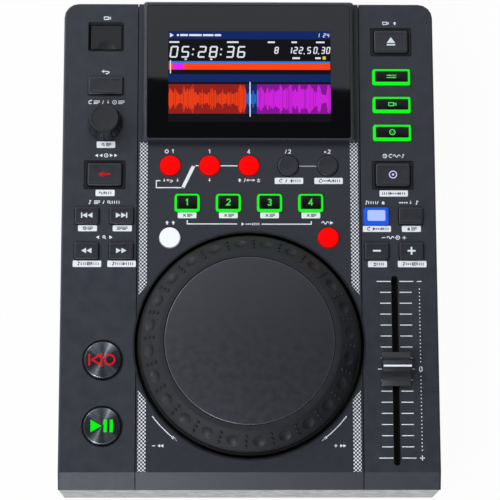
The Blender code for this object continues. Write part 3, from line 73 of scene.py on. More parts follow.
DECK = heights("left_cover")[1]
FRONT, REAR = (corner.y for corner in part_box("left_cover"))
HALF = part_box("right_cover")[1].x
JOG = middle("jog_spindle")
JOG.z = DECK


# Colours and materials
def srgb(*values):
    """Linear values from 8-bit ones."""
    return tuple((v / 255 / 12.92) if v <= 10 else ((v / 255 + 0.055) / 1.055) ** 2.4 for v in values)


class Paint:
    """A node material with its own fine grain, colour variation and wear in its gloss; colours are 8-bit."""

    def __init__(self, name, colour, rough, metallic=0.0, grain=0.3, bump=0.02, mottle=0.12, wear=0.08):
        self.material = bpy.data.materials.new(name)
        self.material.use_nodes = True
        self.tree = self.material.node_tree
        self.shader = self.tree.nodes["Principled BSDF"]
        self.shader.inputs["Metallic"].default_value = metallic
        self.place = self.add("TexCoord").outputs["Object"]
        fine = self.noise(1 / (grain * MM), 3)
        broad = self.noise(1 / (BROAD * grain * MM), 2)
        self.colour = self.shade(self.sum(fine, broad, 0.5), srgb(*colour), mottle)
        self.rough = self.linear(broad, rough - wear, rough + wear)
        self.height = fine
        self.bump = self.add("Bump")
        self.bump.inputs["Distance"].default_value = bump * MM
        self.join(self.colour, self.shader.inputs["Base Color"])
        self.join(self.rough, self.shader.inputs["Roughness"])
        self.join(self.height, self.bump.inputs["Height"])
        self.join(self.bump.outputs["Normal"], self.shader.inputs["Normal"])

    def add(self, kind, **settings):
        node = self.tree.nodes.new(f"ShaderNode{kind}")
        for key, value in settings.items():
            setattr(node, key, value)
        return node

    def join(self, source, target):
        self.tree.links.new(source, target)

    def put(self, socket, value):
        if isinstance(value, bpy.types.NodeSocket):
            self.join(value, socket)
        elif isinstance(value, (int, float)):
            socket.default_value = value
        else:
            socket.default_value = (*value, 1.0)

    def noise(self, scale, detail):
        node = self.add("TexNoise")
        node.inputs["Scale"].default_value = scale
        node.inputs["Detail"].default_value = detail
        self.join(self.place, node.inputs["Vector"])
        return node.outputs["Fac"]

    def math(self, operation, *values, clamp=False):
        node = self.add("Math", operation=operation, use_clamp=clamp)
        for socket, value in zip(node.inputs, values):
            self.put(socket, value)
        return node.outputs[0]

    def sum(self, a, b, share):
        return self.math("ADD", self.math("MULTIPLY", a, share), self.math("MULTIPLY", b, 1 - share))

    def linear(self, source, low, high, start=0.25, end=0.75):
        node = self.add("MapRange")
        self.put(node.inputs["Value"], source)
        for key, value in (("From Min", start), ("From Max", end), ("To Min", low), ("To Max", high)):
            node.inputs[key].default_value = value
        return node.outputs[0]

    def mix(self, factor, a, b):
        node = self.add("Mix", data_type="RGBA")
        self.put(node.inputs[0], factor)
        self.put(node.inputs[6], a)
        self.put(node.inputs[7], b)
        return node.outputs[2]

    def shade(self, factor, colour, spread):
        low = tuple(c * (1 - spread) for c in colour)
        high = tuple(c * (1 + spread) for c in colour)
        return self.mix(self.linear(factor, 0, 1), low, high)

    def axes(self):
        node = self.add("SeparateXYZ")
        self.join(self.place, node.inputs[0])
        return node.outputs

    def step(self, value, edge, above=True, blur=0.02):
        """1 past the edge and 0 before it, or the other way round."""
        low, high = (0, 1) if above else (1, 0)
        return self.linear(value, low, high, edge - blur * MM, edge + blur * MM)

    def all_of(self, *masks):
        made = masks[0]
        for mask in masks[1:]:
            made = self.math("MULTIPLY", made, mask)
        return made

    def recolour(self, mask, colour, rough=None):
        self.colour = self.mix(mask, self.colour, srgb(*colour))
        self.join(self.colour, self.shader.inputs["Base Color"])
        if rough is not None:
            node = self.add("Mix", data_type="FLOAT")
            self.put(node.inputs[0], mask)
            self.put(node.inputs[2], self.rough)
            self.put(node.inputs[3], rough)
            self.rough = node.outputs[0]
            self.join(self.rough, self.shader.inputs["Roughness"])

    def glow(self, colour, strength):
        self.shader.inputs["Emission Strength"].default_value = strength
        self.put(self.shader.inputs["Emission Color"], self.shade(self.height, srgb(*colour), 0.03))
        return self

    def set(self, **values):
        for key, value in values.items():
            self.shader.inputs[key.replace("_", " ")].default_value = value
        return self


def offsets(paint, centre):
    x, y, _z = paint.axes()
    return paint.math("SUBTRACT", x, centre.x), paint.math("SUBTRACT", y, centre.y)


def radius_from(paint, centre):
    dx, dy = offsets(paint, centre)
    return paint.math("SQRT", paint.math("ADD", paint.math("MULTIPLY", dx, dx), paint.math("MULTIPLY", dy, dy)))


def cover_paint(name, colour, rough, grain, bump, mottle):
    """Moulded plastic that is painted dark as shade inside its holes and in the jog wheel's recess."""
    paint = Paint(name, colour, rough, grain=grain, bump=bump, mottle=mottle, wear=0.04)
    x, y, z = paint.axes()
    # painted shade: below the deck, away from the outer skin and the front chamfer, the walls of the holes are coloured
    # near black
    sunk_shade = paint.all_of(
        paint.step(z, DECK - SHADE_DEPTH, above=False),
        paint.step(paint.math("ABSOLUTE", x), HALF - SKIN, above=False),
        paint.step(y, FRONT + CHAMFER_RUN),
        paint.step(y, REAR - SKIN, above=False),
    )
    paint.recolour(sunk_shade, (8, 9, 12), 0.5)
    # painted shade: everything within the jog wheel's recess radius is coloured near black
    well_shade = paint.step(radius_from(paint, JOG), WELL_R, above=False)
    paint.recolour(well_shade, (9, 11, 16), 0.35)
    return paint


panel = cover_paint("textured_panel", (44, 46, 54), 0.44, 0.42, 0.05, 0.3)
smooth = cover_paint("smooth_panel", (43, 44, 52), 0.40, 0.25, 0.006, 0.06)
case = Paint("case_plastic", (64, 69, 77), 0.24, grain=0.5, bump=0.02, mottle=0.14)
case.set(Specular_IOR_Level=0.8)
housing = Paint("housing_plastic", (48, 49, 56), 0.33, grain=0.22, bump=0.008, mottle=0.06)
rubber = Paint("wheel_rubber", (18, 20, 25), 0.55, grain=0.35, bump=0.015, mottle=0.10)
plate = Paint("touch_plate", (41, 42, 47), 0.44, grain=0.30, bump=0.008, mottle=0.03)
cap_dark = Paint("dark_cap", (41, 42, 48), 0.34, grain=0.25, bump=0.008, mottle=0.08)
gloss = Paint("gloss_black", (12, 12, 14), 0.12, grain=0.4, bump=0.001, mottle=0.1, wear=0.03)
# painted shade: near-black paint for gaps, troughs and the jog wheel's recess, where shade falls
groove_shade = Paint("groove_painted_shade", (6, 7, 10), 0.42, grain=0.4, bump=0.004, mottle=0.15)
lens = Paint("lens_gloss", (3, 3, 5), 0.02, grain=0.6, bump=0.0005, mottle=0.2, wear=0.01)
lens.set(Specular_IOR_Level=0.5)
# painted highlight: the touch plate's glossy edge chamfer is given a light grey colour for the bright line it reflects
rim_painted_highlight = Paint("rim_painted_highlight", (90, 92, 98), 0.24, 0.4, grain=0.2, bump=0.002, mottle=0.08)
key_black = Paint("key_black", (5, 6, 7), 0.3, grain=0.4, bump=0.002, mottle=0.15)
key_black.set(Specular_IOR_Level=0.25)
white_ink, grey_ink, dark_ink = (
    Paint(f"{name}_ink", colour, 0.5, grain=0.2, bump=0.003, mottle=mottle) for name, colour, mottle in (
        ("white", (246, 247, 250), 0.05), ("grey", (180, 182, 188), 0.06), ("dark", (62, 64, 70), 0.08)))
foot_rubber = Paint("foot_rubber", (28, 28, 30), 0.7, grain=0.3, bump=0.03, mottle=0.2)
steel = Paint("brushed_steel", (178, 180, 184), 0.28, 1.0, grain=0.15, bump=0.006, mottle=0.08)
bronze = Paint("sintered_bronze", (168, 122, 70), 0.42, 1.0, grain=0.12, bump=0.01, mottle=0.25)
fibre = Paint("board_green", (20, 84, 48), 0.45, grain=0.5, bump=0.01, mottle=0.25)


def lit(name, colour, base, strength=1.0):
    paint = Paint(f"lit_{name}", base, 0.5, grain=0.3, bump=0.004, mottle=0.08)
    paint.set(Specular_IOR_Level=0.06)
    return paint.glow(colour, strength)


red_cap = lit("red", (250, 0, 0), (60, 0, 0))
red_edge = lit("red_edge", (150, 6, 10), (70, 4, 4))
green_edge = lit("green_edge", (14, 250, 24), (0, 70, 6))
green_sign = lit("green_sign", (70, 225, 84), (0, 40, 4))
play_sign = lit("play_sign", (0, 245, 10), (0, 60, 4))
cue_sign = lit("cue_sign", (214, 22, 30), (60, 0, 0))
red_sign = lit("red_sign", (205, 16, 22), (50, 0, 0))
blue_cap = lit("blue", (32, 88, 226), (4, 12, 60))
blue_window = lit("blue_window", (174, 196, 255), (30, 36, 60))
white_cap = lit("white", (214, 219, 224), (170, 172, 174), 0.86)
white_edge = lit("white_edge", (120, 124, 130), (150, 152, 156), 0.8)
lilac_sign = lit("lilac_sign", (206, 200, 250), (60, 60, 80))
white_sign = lit("white_sign", (190, 200, 206), (120, 124, 128))


def halftone(name, paper, ink, pitch):
    """Small printed squares in rows, each row set half a step along."""
    paint = Paint(name, paper, 0.46, grain=0.25, bump=0.004, mottle=0.1)
    x, y, _z = paint.axes()
    wave = [paint.math("COSINE", paint.math("MULTIPLY", axis, TAU / pitch)) for axis in (x, y)]
    dots = paint.linear(paint.math("MULTIPLY", *wave), 0, 1, 0.02, 0.12)
    paint.recolour(dots, ink)
    return paint


dotted = halftone("halftone_print", (30, 31, 35), (240, 241, 244), 2.20 * MM)


def spun_paint(name, centre):
    """Spun metal with a painted sheen: its colour is lighter in lobes that turn with the angle round the cap's middle.
    """
    paint = Paint(name, (62, 64, 70), 0.26, 0.75, grain=0.12, bump=0.002, mottle=0.08)
    dx, dy = offsets(paint, centre)
    angle = paint.math("ARCTAN2", dy, dx)
    painted_sheen = None
    for turns, at, weight, sharp in ((2, 62, 0.55, 5), (2, 64, 0.8, 60), (2, 118, 0.25, 4), (2, 138, 0.18, 40)):
        wave = paint.math("COSINE", paint.math("MULTIPLY", paint.math("SUBTRACT", angle, radians(at)), turns))
        lobe = paint.math("POWER", paint.math("MAXIMUM", wave, 0.0), sharp)
        lobe = paint.math("MULTIPLY", lobe, weight)
        painted_sheen = lobe if painted_sheen is None else paint.math("ADD", painted_sheen, lobe, clamp=True)
    rings = paint.math("SINE", paint.math("MULTIPLY", radius_from(paint, centre), TAU / (0.3 * MM)))
    # painted sheen: the colour is lighter in these lobes
    paint.recolour(painted_sheen, (176, 182, 190))
    paint.join(rings, paint.bump.inputs["Height"])
    return paint


# Mesh building
def linked(name, data):
    item = bpy.data.objects.new(name, data)
    bpy.context.scene.collection.objects.link(item)
    return item


def made(bm, name, paint, body, slot=None, replaces=(), smooth=True, angle=32):
    bmesh.ops.remove_doubles(bm, verts=bm.verts[:], dist=1e-7)
    bmesh.ops.recalc_face_normals(bm, faces=bm.faces)
    mesh = bpy.data.meshes.new(name)
    bm.to_mesh(mesh)
    bm.free()
    piece = linked(name, mesh)
    for item in paint if isinstance(paint, (list, tuple)) else [paint]:
        mesh.materials.append(item.material)
    if smooth:
        mesh.shade_smooth()
        mesh.set_sharp_from_angle(angle=radians(angle))
    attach(piece, body)
    if replaces:
        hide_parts(*replaces)
    return piece


def turns(steps):
    return [TAU * i / steps for i in range(steps)]


def round_points(x, y, radius, angles):
    return [(x + radius * cos(a), y + radius * sin(a)) for a in angles]


def ring_at(plan, inset, steps):
    """Outline of a disc (one number) or a rounded rectangle, drawn in by an inset."""
    if isinstance(plan, float):
        return round_points(0, 0, plan / 2 - inset, turns(steps))
    width, depth, corner = plan
    half_x, half_y = width / 2 - inset, depth / 2 - inset
    corner = max(corner - inset, 0.12 * MM)
    points = []
    quarter = max(steps // 4, 2)
    for turn, (sx, sy) in enumerate(((1, 1), (-1, 1), (-1, -1), (1, -1))):
        for i in range(quarter + 1):
            angle = TAU / 4 * (turn + i / quarter)
            x = sx * (half_x - corner) + corner * cos(angle)
            y = sy * (half_y - corner) + corner * sin(angle)
            points.append((x, y))
    return points


def loft(bm, rings, closed=False, index=0):
    """Joins rings of points, where a ring of one point is a pole; closed joins the last ring to the first."""
    loops = [[bm.verts.new(point) for point in ring] for ring in rings]
    pairs = list(zip(loops, loops[1:])) + ([(loops[-1], loops[0])] if closed else [])
    for low, high in pairs:
        steps = max(len(low), len(high))
        for i in range(steps if steps > 1 else 0):
            j = (i + 1) % steps
            below = [low[i], low[j]] if len(low) > 1 else [low[0]]
            above = [high[j], high[i]] if len(high) > 1 else [high[0]]
            bm.faces.new(below + above).material_index = index
    if not closed:
        for loop in (loops[0][::-1], loops[-1]):
            if len(loop) > 1:
                bm.faces.new(loop).material_index = index
    return loops


def plan_ring(centre, plan, inset, z, steps):
    return [(centre[0] + x, centre[1] + y, z) for x, y in ring_at(plan, inset, steps)]


def capped(bm, centre, plan, foot, top, fillet, dish=0.0, steps=32, index=0, face=None):
    """A button's cap: upright walls, a rounded edge and a top that may dip a little and have its own look."""
    rings = [plan_ring(centre, plan, 0, foot, steps), plan_ring(centre, plan, 0, top - fillet, steps)]
    for i in range(1, 5):
        turn = TAU / 4 * i / 4
        inset = fillet * (1 - cos(turn))
        rings.append(plan_ring(centre, plan, inset, top - fillet + fillet * sin(turn), steps))
    if dish:
        width = plan if isinstance(plan, float) else plan[1]
        rings.append(plan_ring(centre, plan, fillet + width * 0.08, top - dish / 2, steps))
        rings.append(plan_ring(centre, plan, fillet + width * 0.2, top - dish, steps))
    made_faces = len(bm.faces)
    loft(bm, rings, index=index)
    if face is not None:
        bm.faces.ensure_lookup_table()
        edge = top - fillet * 0.35
        for item in list(bm.faces)[made_faces:]:
            if min(vert.co.z for vert in item.verts) > edge - dish:
                item.material_index = face


def turned(bm, centre, profile, steps, closed=False, index=0):
    """A form turned about the vertical through the centre; (radius, height) points."""
    rings = []
    for radius, height in profile:
        around = round_points(centre[0], centre[1], radius, turns(steps if radius else 1))
        rings.append([(x, y, height) for x, y in around])
    loft(bm, rings, closed=closed, index=index)


def prism(bm, outline, foot, top, index=0):
    loft(bm, [[(x, y, foot) for x, y in outline], [(x, y, top) for x, y in outline]], index=index)


# Printed marks: thin prisms of ink
class Pen:
    """Collects marks for one surface; each mark is a thin solid that stands a film's height proud."""

    def __init__(self, z, body, paints):
        self.bm = bmesh.new()
        self.z = z
        self.body = body
        self.paints = paints

    def fill(self, outline, ink=0, lift=0.0):
        prism(self.bm, outline, self.z - INK / 2, self.z + FILM + lift, ink)

    def line(self, points, width, ink=0, lift=0.0):
        """A stroke with mitred joints, as one closed outline."""
        points = [Vector((x, y)) for x, y in points]
        left, right = [], []
        for i, point in enumerate(points):
            before = (point - points[i - 1]).normalized() if i else None
            after = (points[i + 1] - point).normalized() if i + 1 < len(points) else None
            before = before or after
            after = after or before
            along = (before + after).normalized()
            side = Vector((-along.y, along.x))
            reach = width / 2 / max(side.dot(Vector((-before.y, before.x))), 0.35)
            left.append(tuple(point + side * reach))
            right.append(tuple(point - side * reach))
        self.fill(left + right[::-1], ink, lift)

    def disc(self, x, y, radius, ink=0, lift=0.0, steps=14):
        self.fill(round_points(x, y, radius, turns(steps)), ink, lift)

    def circle(self, x, y, radius, width, ink=0, lift=0.0, start=0.0, sweep=360.0, steps=24):
        """A round stroke, or an arc of one, made of two rings."""
        whole = sweep >= 360
        count = max(int(steps * sweep / 360), 3)
        angles = [radians(start + sweep * i / count) for i in range(count if whole else count + 1)]
        rims = [round_points(x, y, r, angles) for r in (radius + width / 2, radius - width / 2)]
        if not whole:
            self.fill(rims[0] + rims[1][::-1], ink, lift)
            return
        foot, top = self.z - INK / 2, self.z + FILM + lift
        rings = [[(px, py, h) for px, py in rims[k]] for k, h in ((0, foot), (0, top), (1, top), (1, foot))]
        loft(self.bm, rings, closed=True, index=ink)

    def sign(self, name, x, y, size, weight=0.14, ink=0, lift=0.0):
        """A plain sign from SIGNS, scaled to the height size."""
        unit = size / 100
        for kind, px, py, *more in SIGNS[name]:
            at = x + px * unit, y + py * unit
            if kind == "disc":
                self.disc(*at, more[0] * unit, ink, lift)
            elif kind == "ring":
                self.circle(*at, more[0] * unit, weight * size, ink, lift, *more[1:])
            else:
                points = [at] + [(x + ax * unit, y + ay * unit) for ax, ay in zip(more[::2], more[1::2])]
                if kind == "line":
                    self.line(points, weight * size, ink, lift)
                else:
                    self.fill(points, ink, lift)

    def done(self, name, slot):
        return made(self.bm, name, self.paints, self.body, slot, smooth=False)


# Strokes and outlines (x, y, x, y ...), discs and rings (x, y, radius, start, sweep), in hundredths of the height
SIGNS = {
    "0": [("line", -26, 30, -12, 46, 12, 46, 26, 30, 26, -30, 12, -46, -12, -46, -26, -30, -26, 30, -12, 46)],
    "1": [("line", -20, 28, 4, 46, 4, -48)],
    "2": [("line", -26, 26, -16, 44, 12, 46, 27, 28, 20, 2, -26, -42, 30, -42)],
    "3": [("line", -25, 34, -8, 46, 14, 44, 24, 24, 2, 3, 26, -20, 14, -44, -10, -46, -28, -32)],
    "4": [("line", 10, -48, 10, 44, -30, -18, 32, -18)],
    "slash": [("line", -16, -45, 16, 45)],
    "cross": [("line", -20, -30, 20, 10), ("line", -20, 10, 20, -30)],
    "minus": [("line", -50, 0, 50, 0)],
    "plus": [("line", -50, 0, 50, 0), ("line", 0, -50, 0, 50)],
    "right": [("fill", -40, -50, 45, 0, -40, 50)],
    "left": [("fill", 40, -50, 40, 50, -45, 0)],
    "stick": [("line", -70, -35, 35, -35, 35, 35, -70, 35, -70, -36), ("line", 40, -20, 90, -20, 90, 20, 40, 20)],
    "return": [("line", -60, 10, 40, 10, 70, -10, 40, -42, -10, -42), ("fill", -100, 10, -45, -30, -45, 50)],
    "turn": [("ring", 0, 0, 42, 60, 250), ("fill", 10, 20, 10, 74, 50, 42)],
    "push": [("line", 0, 50, 0, 0), ("fill", -30, 5, 0, -40, 30, 5)],
    "search": [("ring", -10, 12, 30), ("line", 10, -10, 42, -45)],
    "both": [("line", -80, 0, 80, 0), ("fill", -120, 0, -60, 40, -60, -40), ("fill", 120, 0, 60, -40, 60, 40)],
    "wave": [("line", -100, -10, -75, 30, -50, 30, -15, -30, 10, -30, 45, 30, 70, 30, 100, -10)],
    "clock": [("ring", 0, 0, 45), ("line", 0, 30, 0, 0, 22, -10)],
    "lines": [("line", -80, 35, 80, 35), ("line", -80, 0, 80, 0), ("line", -80, -35, 30, -35)],
    "bars": [("line", x, -40, x, 40) for x in (-90, -30, 30, 90)],
    "delete": [("line", -36, -36, 36, 36), ("line", -36, 36, 36, -36)],
    "up": [("fill", -50, -2, 50, -2, 0, 50), ("fill", -20, -50, 20, -50, 20, 0, -20, 0)],
    "lock": [("fill", -34, -45, 34, -45, 34, 8, -34, 8), ("ring", 0, 8, 22, 0, 180)],
    "note": [("disc", -20, -34, 20), ("line", -6, -34, -6, 45, 30, 28)],
    "dots": [("disc", x, 0, 22) for x in (-90, -30, 30, 90)],
    "disc": [("ring", 0, 0, 50), ("disc", 0, 0, 16)],
    "loop": [("ring", 0, 0, 40, 100, 300), ("fill", -5, 14, -5, 66, 36, 40)],
    "cue": [("line", -115, -50, -115, 50), ("line", -10, 50, -90, 0, -10, -50, -10, 50, -22, 43), ("ring", 62, 0,
        42)],
    "range": [("line", -40, 12, 40, 12), ("line", 0, -20, 0, 46), ("line", -40, -42, 40, -42)],
    "sliders": [("line", -110, 26, 110, 26), ("line", -110, -26, 110, -26), ("disc", -40, 26, 20), ("disc", 50, -26,
        20)],
    "ports": [("ring", 0, 0, 46), ("disc", -22, 6, 8), ("disc", 22, 6, 8), ("disc", 0, -20, 8)],
}


# Push buttons
PAIR = mm(14.1, 10.0, 1.0)
BACK = mm(20.4, 10.6, 0.6)
WIDE = mm(20.0, 13.6, 1.3)
HOT = mm(14.0, 10.2, 1.2)
MODE = mm(21.8, 9.2, 0.8)
ROUND = 12.2 * MM
TRANSPORT = 21.3 * MM
STEM = mm(4.0, 4.0, 0.4)
FLANGE_TOP = DECK - 2.8 * MM
FLANGE_FOOT = DECK - 3.8 * MM
FLANGE_OUT = 1.0 * MM
LAP = 0.05 * MM
FILLET = 0.7 * MM
DISH, ROUND_DISH = 0.12 * MM, 0.15 * MM
PLATE_LIFT = 0.06 * MM


def wider(plan, amount):
    if isinstance(plan, float):
        return plan + 2 * amount
    return plan[0] + 2 * amount, plan[1] + 2 * amount, plan[2] + amount


def key(name, plan, paint, slot, dish=0.0, inner=None, face=None):
    """A whole button: its stem, the flange that holds it in and the finely rounded cap."""
    node = f"{name}_button"
    at = middle(node)
    low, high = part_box(node)
    steps = 48 if isinstance(plan, float) else 24
    paints = [paint, face] if face else [paint]
    bm = bmesh.new()
    capped(bm, at, plan, FLANGE_TOP - LAP, high.z, FILLET, dish, steps, 0, 1 if face else None)
    loft(bm, [plan_ring(at, wider(plan, FLANGE_OUT), 0, z, steps) for z in (FLANGE_FOOT, FLANGE_TOP)])
    loft(bm, [plan_ring(at, STEM, 0, z, 8) for z in (low.z, FLANGE_FOOT + LAP)])
    if inner:
        size, inner_paint = inner
        paints.append(inner_paint)
        capped(bm, at, size, high.z - 0.1 * MM, high.z + PLATE_LIFT, LAP, 0.0, 16, 1)
    made(bm, f"{name}_key", paints, name, slot, (node,))


for names, plan, dish in (
        ("track_back track_next search_back search_next tap pitch_down pitch_up", PAIR, DISH), ("back", BACK, DISH),
        ("direction eject jog_mode", WIDE, DISH), ("loop_halve loop_double", ROUND, ROUND_DISH)):
    for name in names.split():
        key(name, plan, cap_dark, "dark_cap", dish)
for name in ("auto_loop", "loop_in", "loop_out", "slip"):
    key(name, ROUND, red_edge, "red_cap", face=red_cap)
key("shift", ROUND, white_edge, "white_cap", face=white_cap)
key("key_lock", PAIR, blue_cap, "blue_cap", inner=(mm(10.4, 6.4, 0.8), blue_window))
for number in (1, 2, 3, 4):
    key(f"hot_cue_{number}", HOT, green_edge, "green_cap", inner=(mm(12.0, 8.1, 0.8), key_black))
for name in ("setup", "source", "link"):
    key(name, MODE, green_edge, "green_cap", inner=(mm(19.4, 6.6, 0.6), key_black))
for name in ("cue", "play"):
    key(name, TRANSPORT, spun_paint(f"spun_{name}", middle(f"{name}_button")), "spun_cap")


# Signs on the caps
def about(place, *pairs):
    """Points so many millimetres to the right of a place and beyond it."""
    return [(place.x + x * MM, place.y + y * MM) for x, y in pairs]


def cap_pen(name, paint, lift):
    node = f"{name}_button"
    return Pen(heights(node)[1] + lift, name, [paint]), middle(node)


def cap_sign(name, sign, size, paint, weight, lift, slot):
    pen, at = cap_pen(name, paint, lift)
    pen.sign(sign, at.x, at.y, size, weight)
    pen.done(f"{name}_sign", slot)


for number in (1, 2, 3, 4):
    cap_sign(f"hot_cue_{number}", str(number), 3.9 * MM, green_sign, 0.18, PLATE_LIFT, "green_cap")
for name, sign, size, weight in (
        ("setup", "sliders", 2.6, 0.2), ("source", "stick", 2.7, 0.2), ("link", "ports", 3.4, 0.17)):
    cap_sign(name, sign, size * MM, green_sign, weight, PLATE_LIFT, "green_cap")
cap_sign("jog_mode", "disc", 4.2 * MM, lilac_sign, 0.14, -DISH, "dark_cap")

pen, at = cap_pen("direction", red_sign, -DISH)
size = 2.7 * MM
pen.line([(at.x - size * 0.5, at.y), (at.x + size * 1.3, at.y)], 0.95 * MM)
x, half = at.x - size * 0.35, size * 0.62
pen.fill([(x - size, at.y), (x, at.y - half), (x, at.y + half)])
pen.done("direction_sign", "dark_cap")

pen, at = cap_pen("eject", white_sign, -DISH)
pen.fill(about(at, (-2.5, -0.9), (2.5, -0.9), (0, 2.6)))
pen.fill(about(at, (-2.5, -2.5), (2.5, -2.5), (2.5, -1.6), (-2.5, -1.6)))
pen.done("eject_sign", "dark_cap")


def double_arrow(name, way, bar):
    pen, at = cap_pen(name, white_sign, -DISH)
    half = 1.6 * MM
    for step in (-1, 1):
        x = at.x + (step * 1.55 - 0.35 * way * bar) * MM
        pen.fill([(x - 1.4 * MM * way, at.y - half), (x + 1.5 * MM * way, at.y), (x - 1.4 * MM * way, at.y + half)])
    if bar:
        x = at.x + way * 3.0 * MM
        pen.line([(x, at.y - half), (x, at.y + half)], 0.75 * MM)
    pen.done(f"{name}_sign", "dark_cap")


double_arrow("track_back", -1, 1)
double_arrow("track_next", 1, 1)
double_arrow("search_back", -1, 0)
double_arrow("search_next", 1, 0)
cap_sign("pitch_down", "minus", 4.6 * MM, white_sign, 0.22, -DISH, "dark_cap")
cap_sign("pitch_up", "plus", 4.6 * MM, white_sign, 0.22, -DISH, "dark_cap")

cap_sign("cue", "cue", 6.6 * MM, cue_sign, 0.15, 0.0, "spun_cap")
pen, at = cap_pen("play", play_sign, 0.0)
pen.fill(about(at, (-6.4, -3.6), (-0.2, 0), (-6.4, 3.6)))
for x in (2.0, 5.4):
    pen.line(about(at, (x, -3.6), (x, 3.6)), 1.8 * MM)
pen.done("play_sign", "spun_cap")


# Frames and troughs of painted shade round the caps
FRAME_OUTER, FRAME_INNER = mm(23.3, 16.2, 1.0), mm(20.9, 14.5, 1.5)
FRAME_FOOT, FRAME_TOP = DECK - 0.62 * MM, DECK - 0.05 * MM
for name in ("direction", "eject", "jog_mode"):
    at = middle(f"{name}_button")
    bm = bmesh.new()
    loft(bm, [plan_ring(at, plan, inset, z, 24) for plan, inset, z in (
        (FRAME_OUTER, 0, FRAME_FOOT), (FRAME_OUTER, 0, FRAME_TOP - 0.15 * MM), (FRAME_OUTER, 0.15 * MM, FRAME_TOP),
        (FRAME_INNER, -0.25 * MM, FRAME_TOP), (FRAME_INNER, 0, FRAME_TOP - 0.25 * MM), (FRAME_INNER, 0, FRAME_FOOT))],
        closed=True)
    made(bm, f"{name}_frame", groove_shade, "base", "gloss_black")


def trough(name, centre, profile, steps):
    """A black ring of painted shade set into the covers; its profile is in millimetres from the axis and from the deck.
    """
    bm = bmesh.new()
    turned(bm, centre, [(radius * MM, DECK + height * MM) for radius, height in profile], steps, closed=True)
    made(bm, name, groove_shade, "base", "gloss_black")


for name in ("cue", "play"):
    trough(f"{name}_trough", middle(f"{name}_button"), [
        (11.95, 0.03), (11.72, 0.03), (11.66, -1.1), (10.9, -1.12), (10.9, -1.22), (11.95, -1.22)], 64)
trough("well_collar", JOG, [
    (67.05, 0.03), (66.1, 0.03), (65.9, -0.1), (65.0, -8.4), (11.2, -8.42), (11.2, -8.47), (65.05, -8.47),
    (66.05, -0.12), (66.2, -0.04), (67.05, -0.04)], 192)

# Jog wheel
TOUCH_R, BAND_R, CONE_R, LIP_R = mm(48.6, 52.3, 62.8, 64.0)
PLATE_UP, CONE_FOOT, LIP_UP, SKIRT = mm(14.0, 4.2, 0.4, -6.0)
SHELL = 2.7 * MM
DIMPLES, DIMPLE_R, DIMPLE_DEEP, DIMPLE_TURN = 24, 3.6 * MM, 1.2 * MM, radians(5.3)
BUMP_R, BUMP_STEP = 1.05 * MM, 3.4 * MM
GROOVE_DEEP = 2.3 * MM
SHADED_FOOT = 0.9 * MM  # the lowest part of the cone gets the same painted shade as the lip
SLOPE = hypot(CONE_R - BAND_R, PLATE_UP - CONE_FOOT)
CONE_NORMAL = ((PLATE_UP - CONE_FOOT) / SLOPE, (CONE_R - BAND_R) / SLOPE)


def on_cone(along):
    """Radius and height of a place on the cone, so far down its slope."""
    return BAND_R + (CONE_R - BAND_R) * along / SLOPE, PLATE_UP - (PLATE_UP - CONE_FOOT) * along / SLOPE


def dimple_depth(angle, along, radius):
    """How deep the cone is hollowed at a place on its slope."""
    pitch = TAU / DIMPLES
    off = (angle - DIMPLE_TURN + pitch / 2) % pitch - pitch / 2
    distance = hypot(off * radius, along - SLOPE / 2)
    ball = (DIMPLE_R ** 2 + DIMPLE_DEEP ** 2) / (2 * DIMPLE_DEEP)
    if distance >= DIMPLE_R:
        return 0.0
    return sqrt(ball ** 2 - distance ** 2) - (ball - DIMPLE_DEEP)


def ball(bm, centre, radius, around=16, rows=8):
    tilts = [pi * row / rows for row in range(1, rows)]
    turned(bm, centre, [(radius * sin(tilt), centre[2] - radius * cos(tilt)) for tilt in tilts], around)


def wheel_mesh():
    bm = bmesh.new()
    steps, rows = 720, 34
    skirt = LIP_R - SHELL
    groove = PLATE_UP - GROOVE_DEEP
    web = groove - SHELL
    hub, bore, hub_foot = mm(10.0, 3.3, -6.2)
    outside = [(TOUCH_R + 0.3 * MM, groove), (TOUCH_R + 0.3 * MM, PLATE_UP - 0.15 * MM),
               (TOUCH_R + 0.45 * MM, PLATE_UP), (BAND_R - 0.3 * MM, PLATE_UP)]
    inside = [(CONE_R - 0.05 * MM, CONE_FOOT), (CONE_R, CONE_FOOT - 0.3 * MM), (CONE_R, LIP_UP),
              (LIP_R - 0.1 * MM, LIP_UP), (LIP_R, LIP_UP - 0.1 * MM), (LIP_R, SKIRT), (skirt, SKIRT),
              (skirt, PLATE_UP - 13.5 * MM), (BAND_R - 3.4 * MM, web), (hub, web), (hub, hub_foot), (bore, hub_foot),
              (bore, groove)]
    grid = []
    for row in range(rows + 1):
        along = SLOPE * (0.01 + 0.98 * row / rows)
        grid.append((*on_cone(along), along))
    rings = []
    for radius, height, *along in outside + grid + inside:
        ring = []
        for i in range(steps):
            angle = TAU * i / steps
            deep = dimple_depth(angle, along[0], radius) if along else 0.0
            r, z = radius - deep * CONE_NORMAL[0], DECK + height - deep * CONE_NORMAL[1]
            ring.append((JOG.x + r * cos(angle), JOG.y + r * sin(angle), z))
        rings.append(ring)
    loft(bm, rings, closed=True)
    # painted shade: the lip and the lowest part of the cone take the near-black shade paint
    for item in bm.faces:
        out = item.calc_center_median() - JOG
        if hypot(out.x, out.y) > CONE_R - SHADED_FOOT:
            item.material_index = 1
    for index in range(DIMPLES):
        angle = TAU * (index + 0.5) / DIMPLES + DIMPLE_TURN
        for step in (-1, 0, 1):
            radius, height = on_cone(SLOPE / 2 + step * BUMP_STEP)
            ball(bm, (JOG.x + radius * cos(angle), JOG.y + radius * sin(angle), DECK + height), BUMP_R)
    return bm


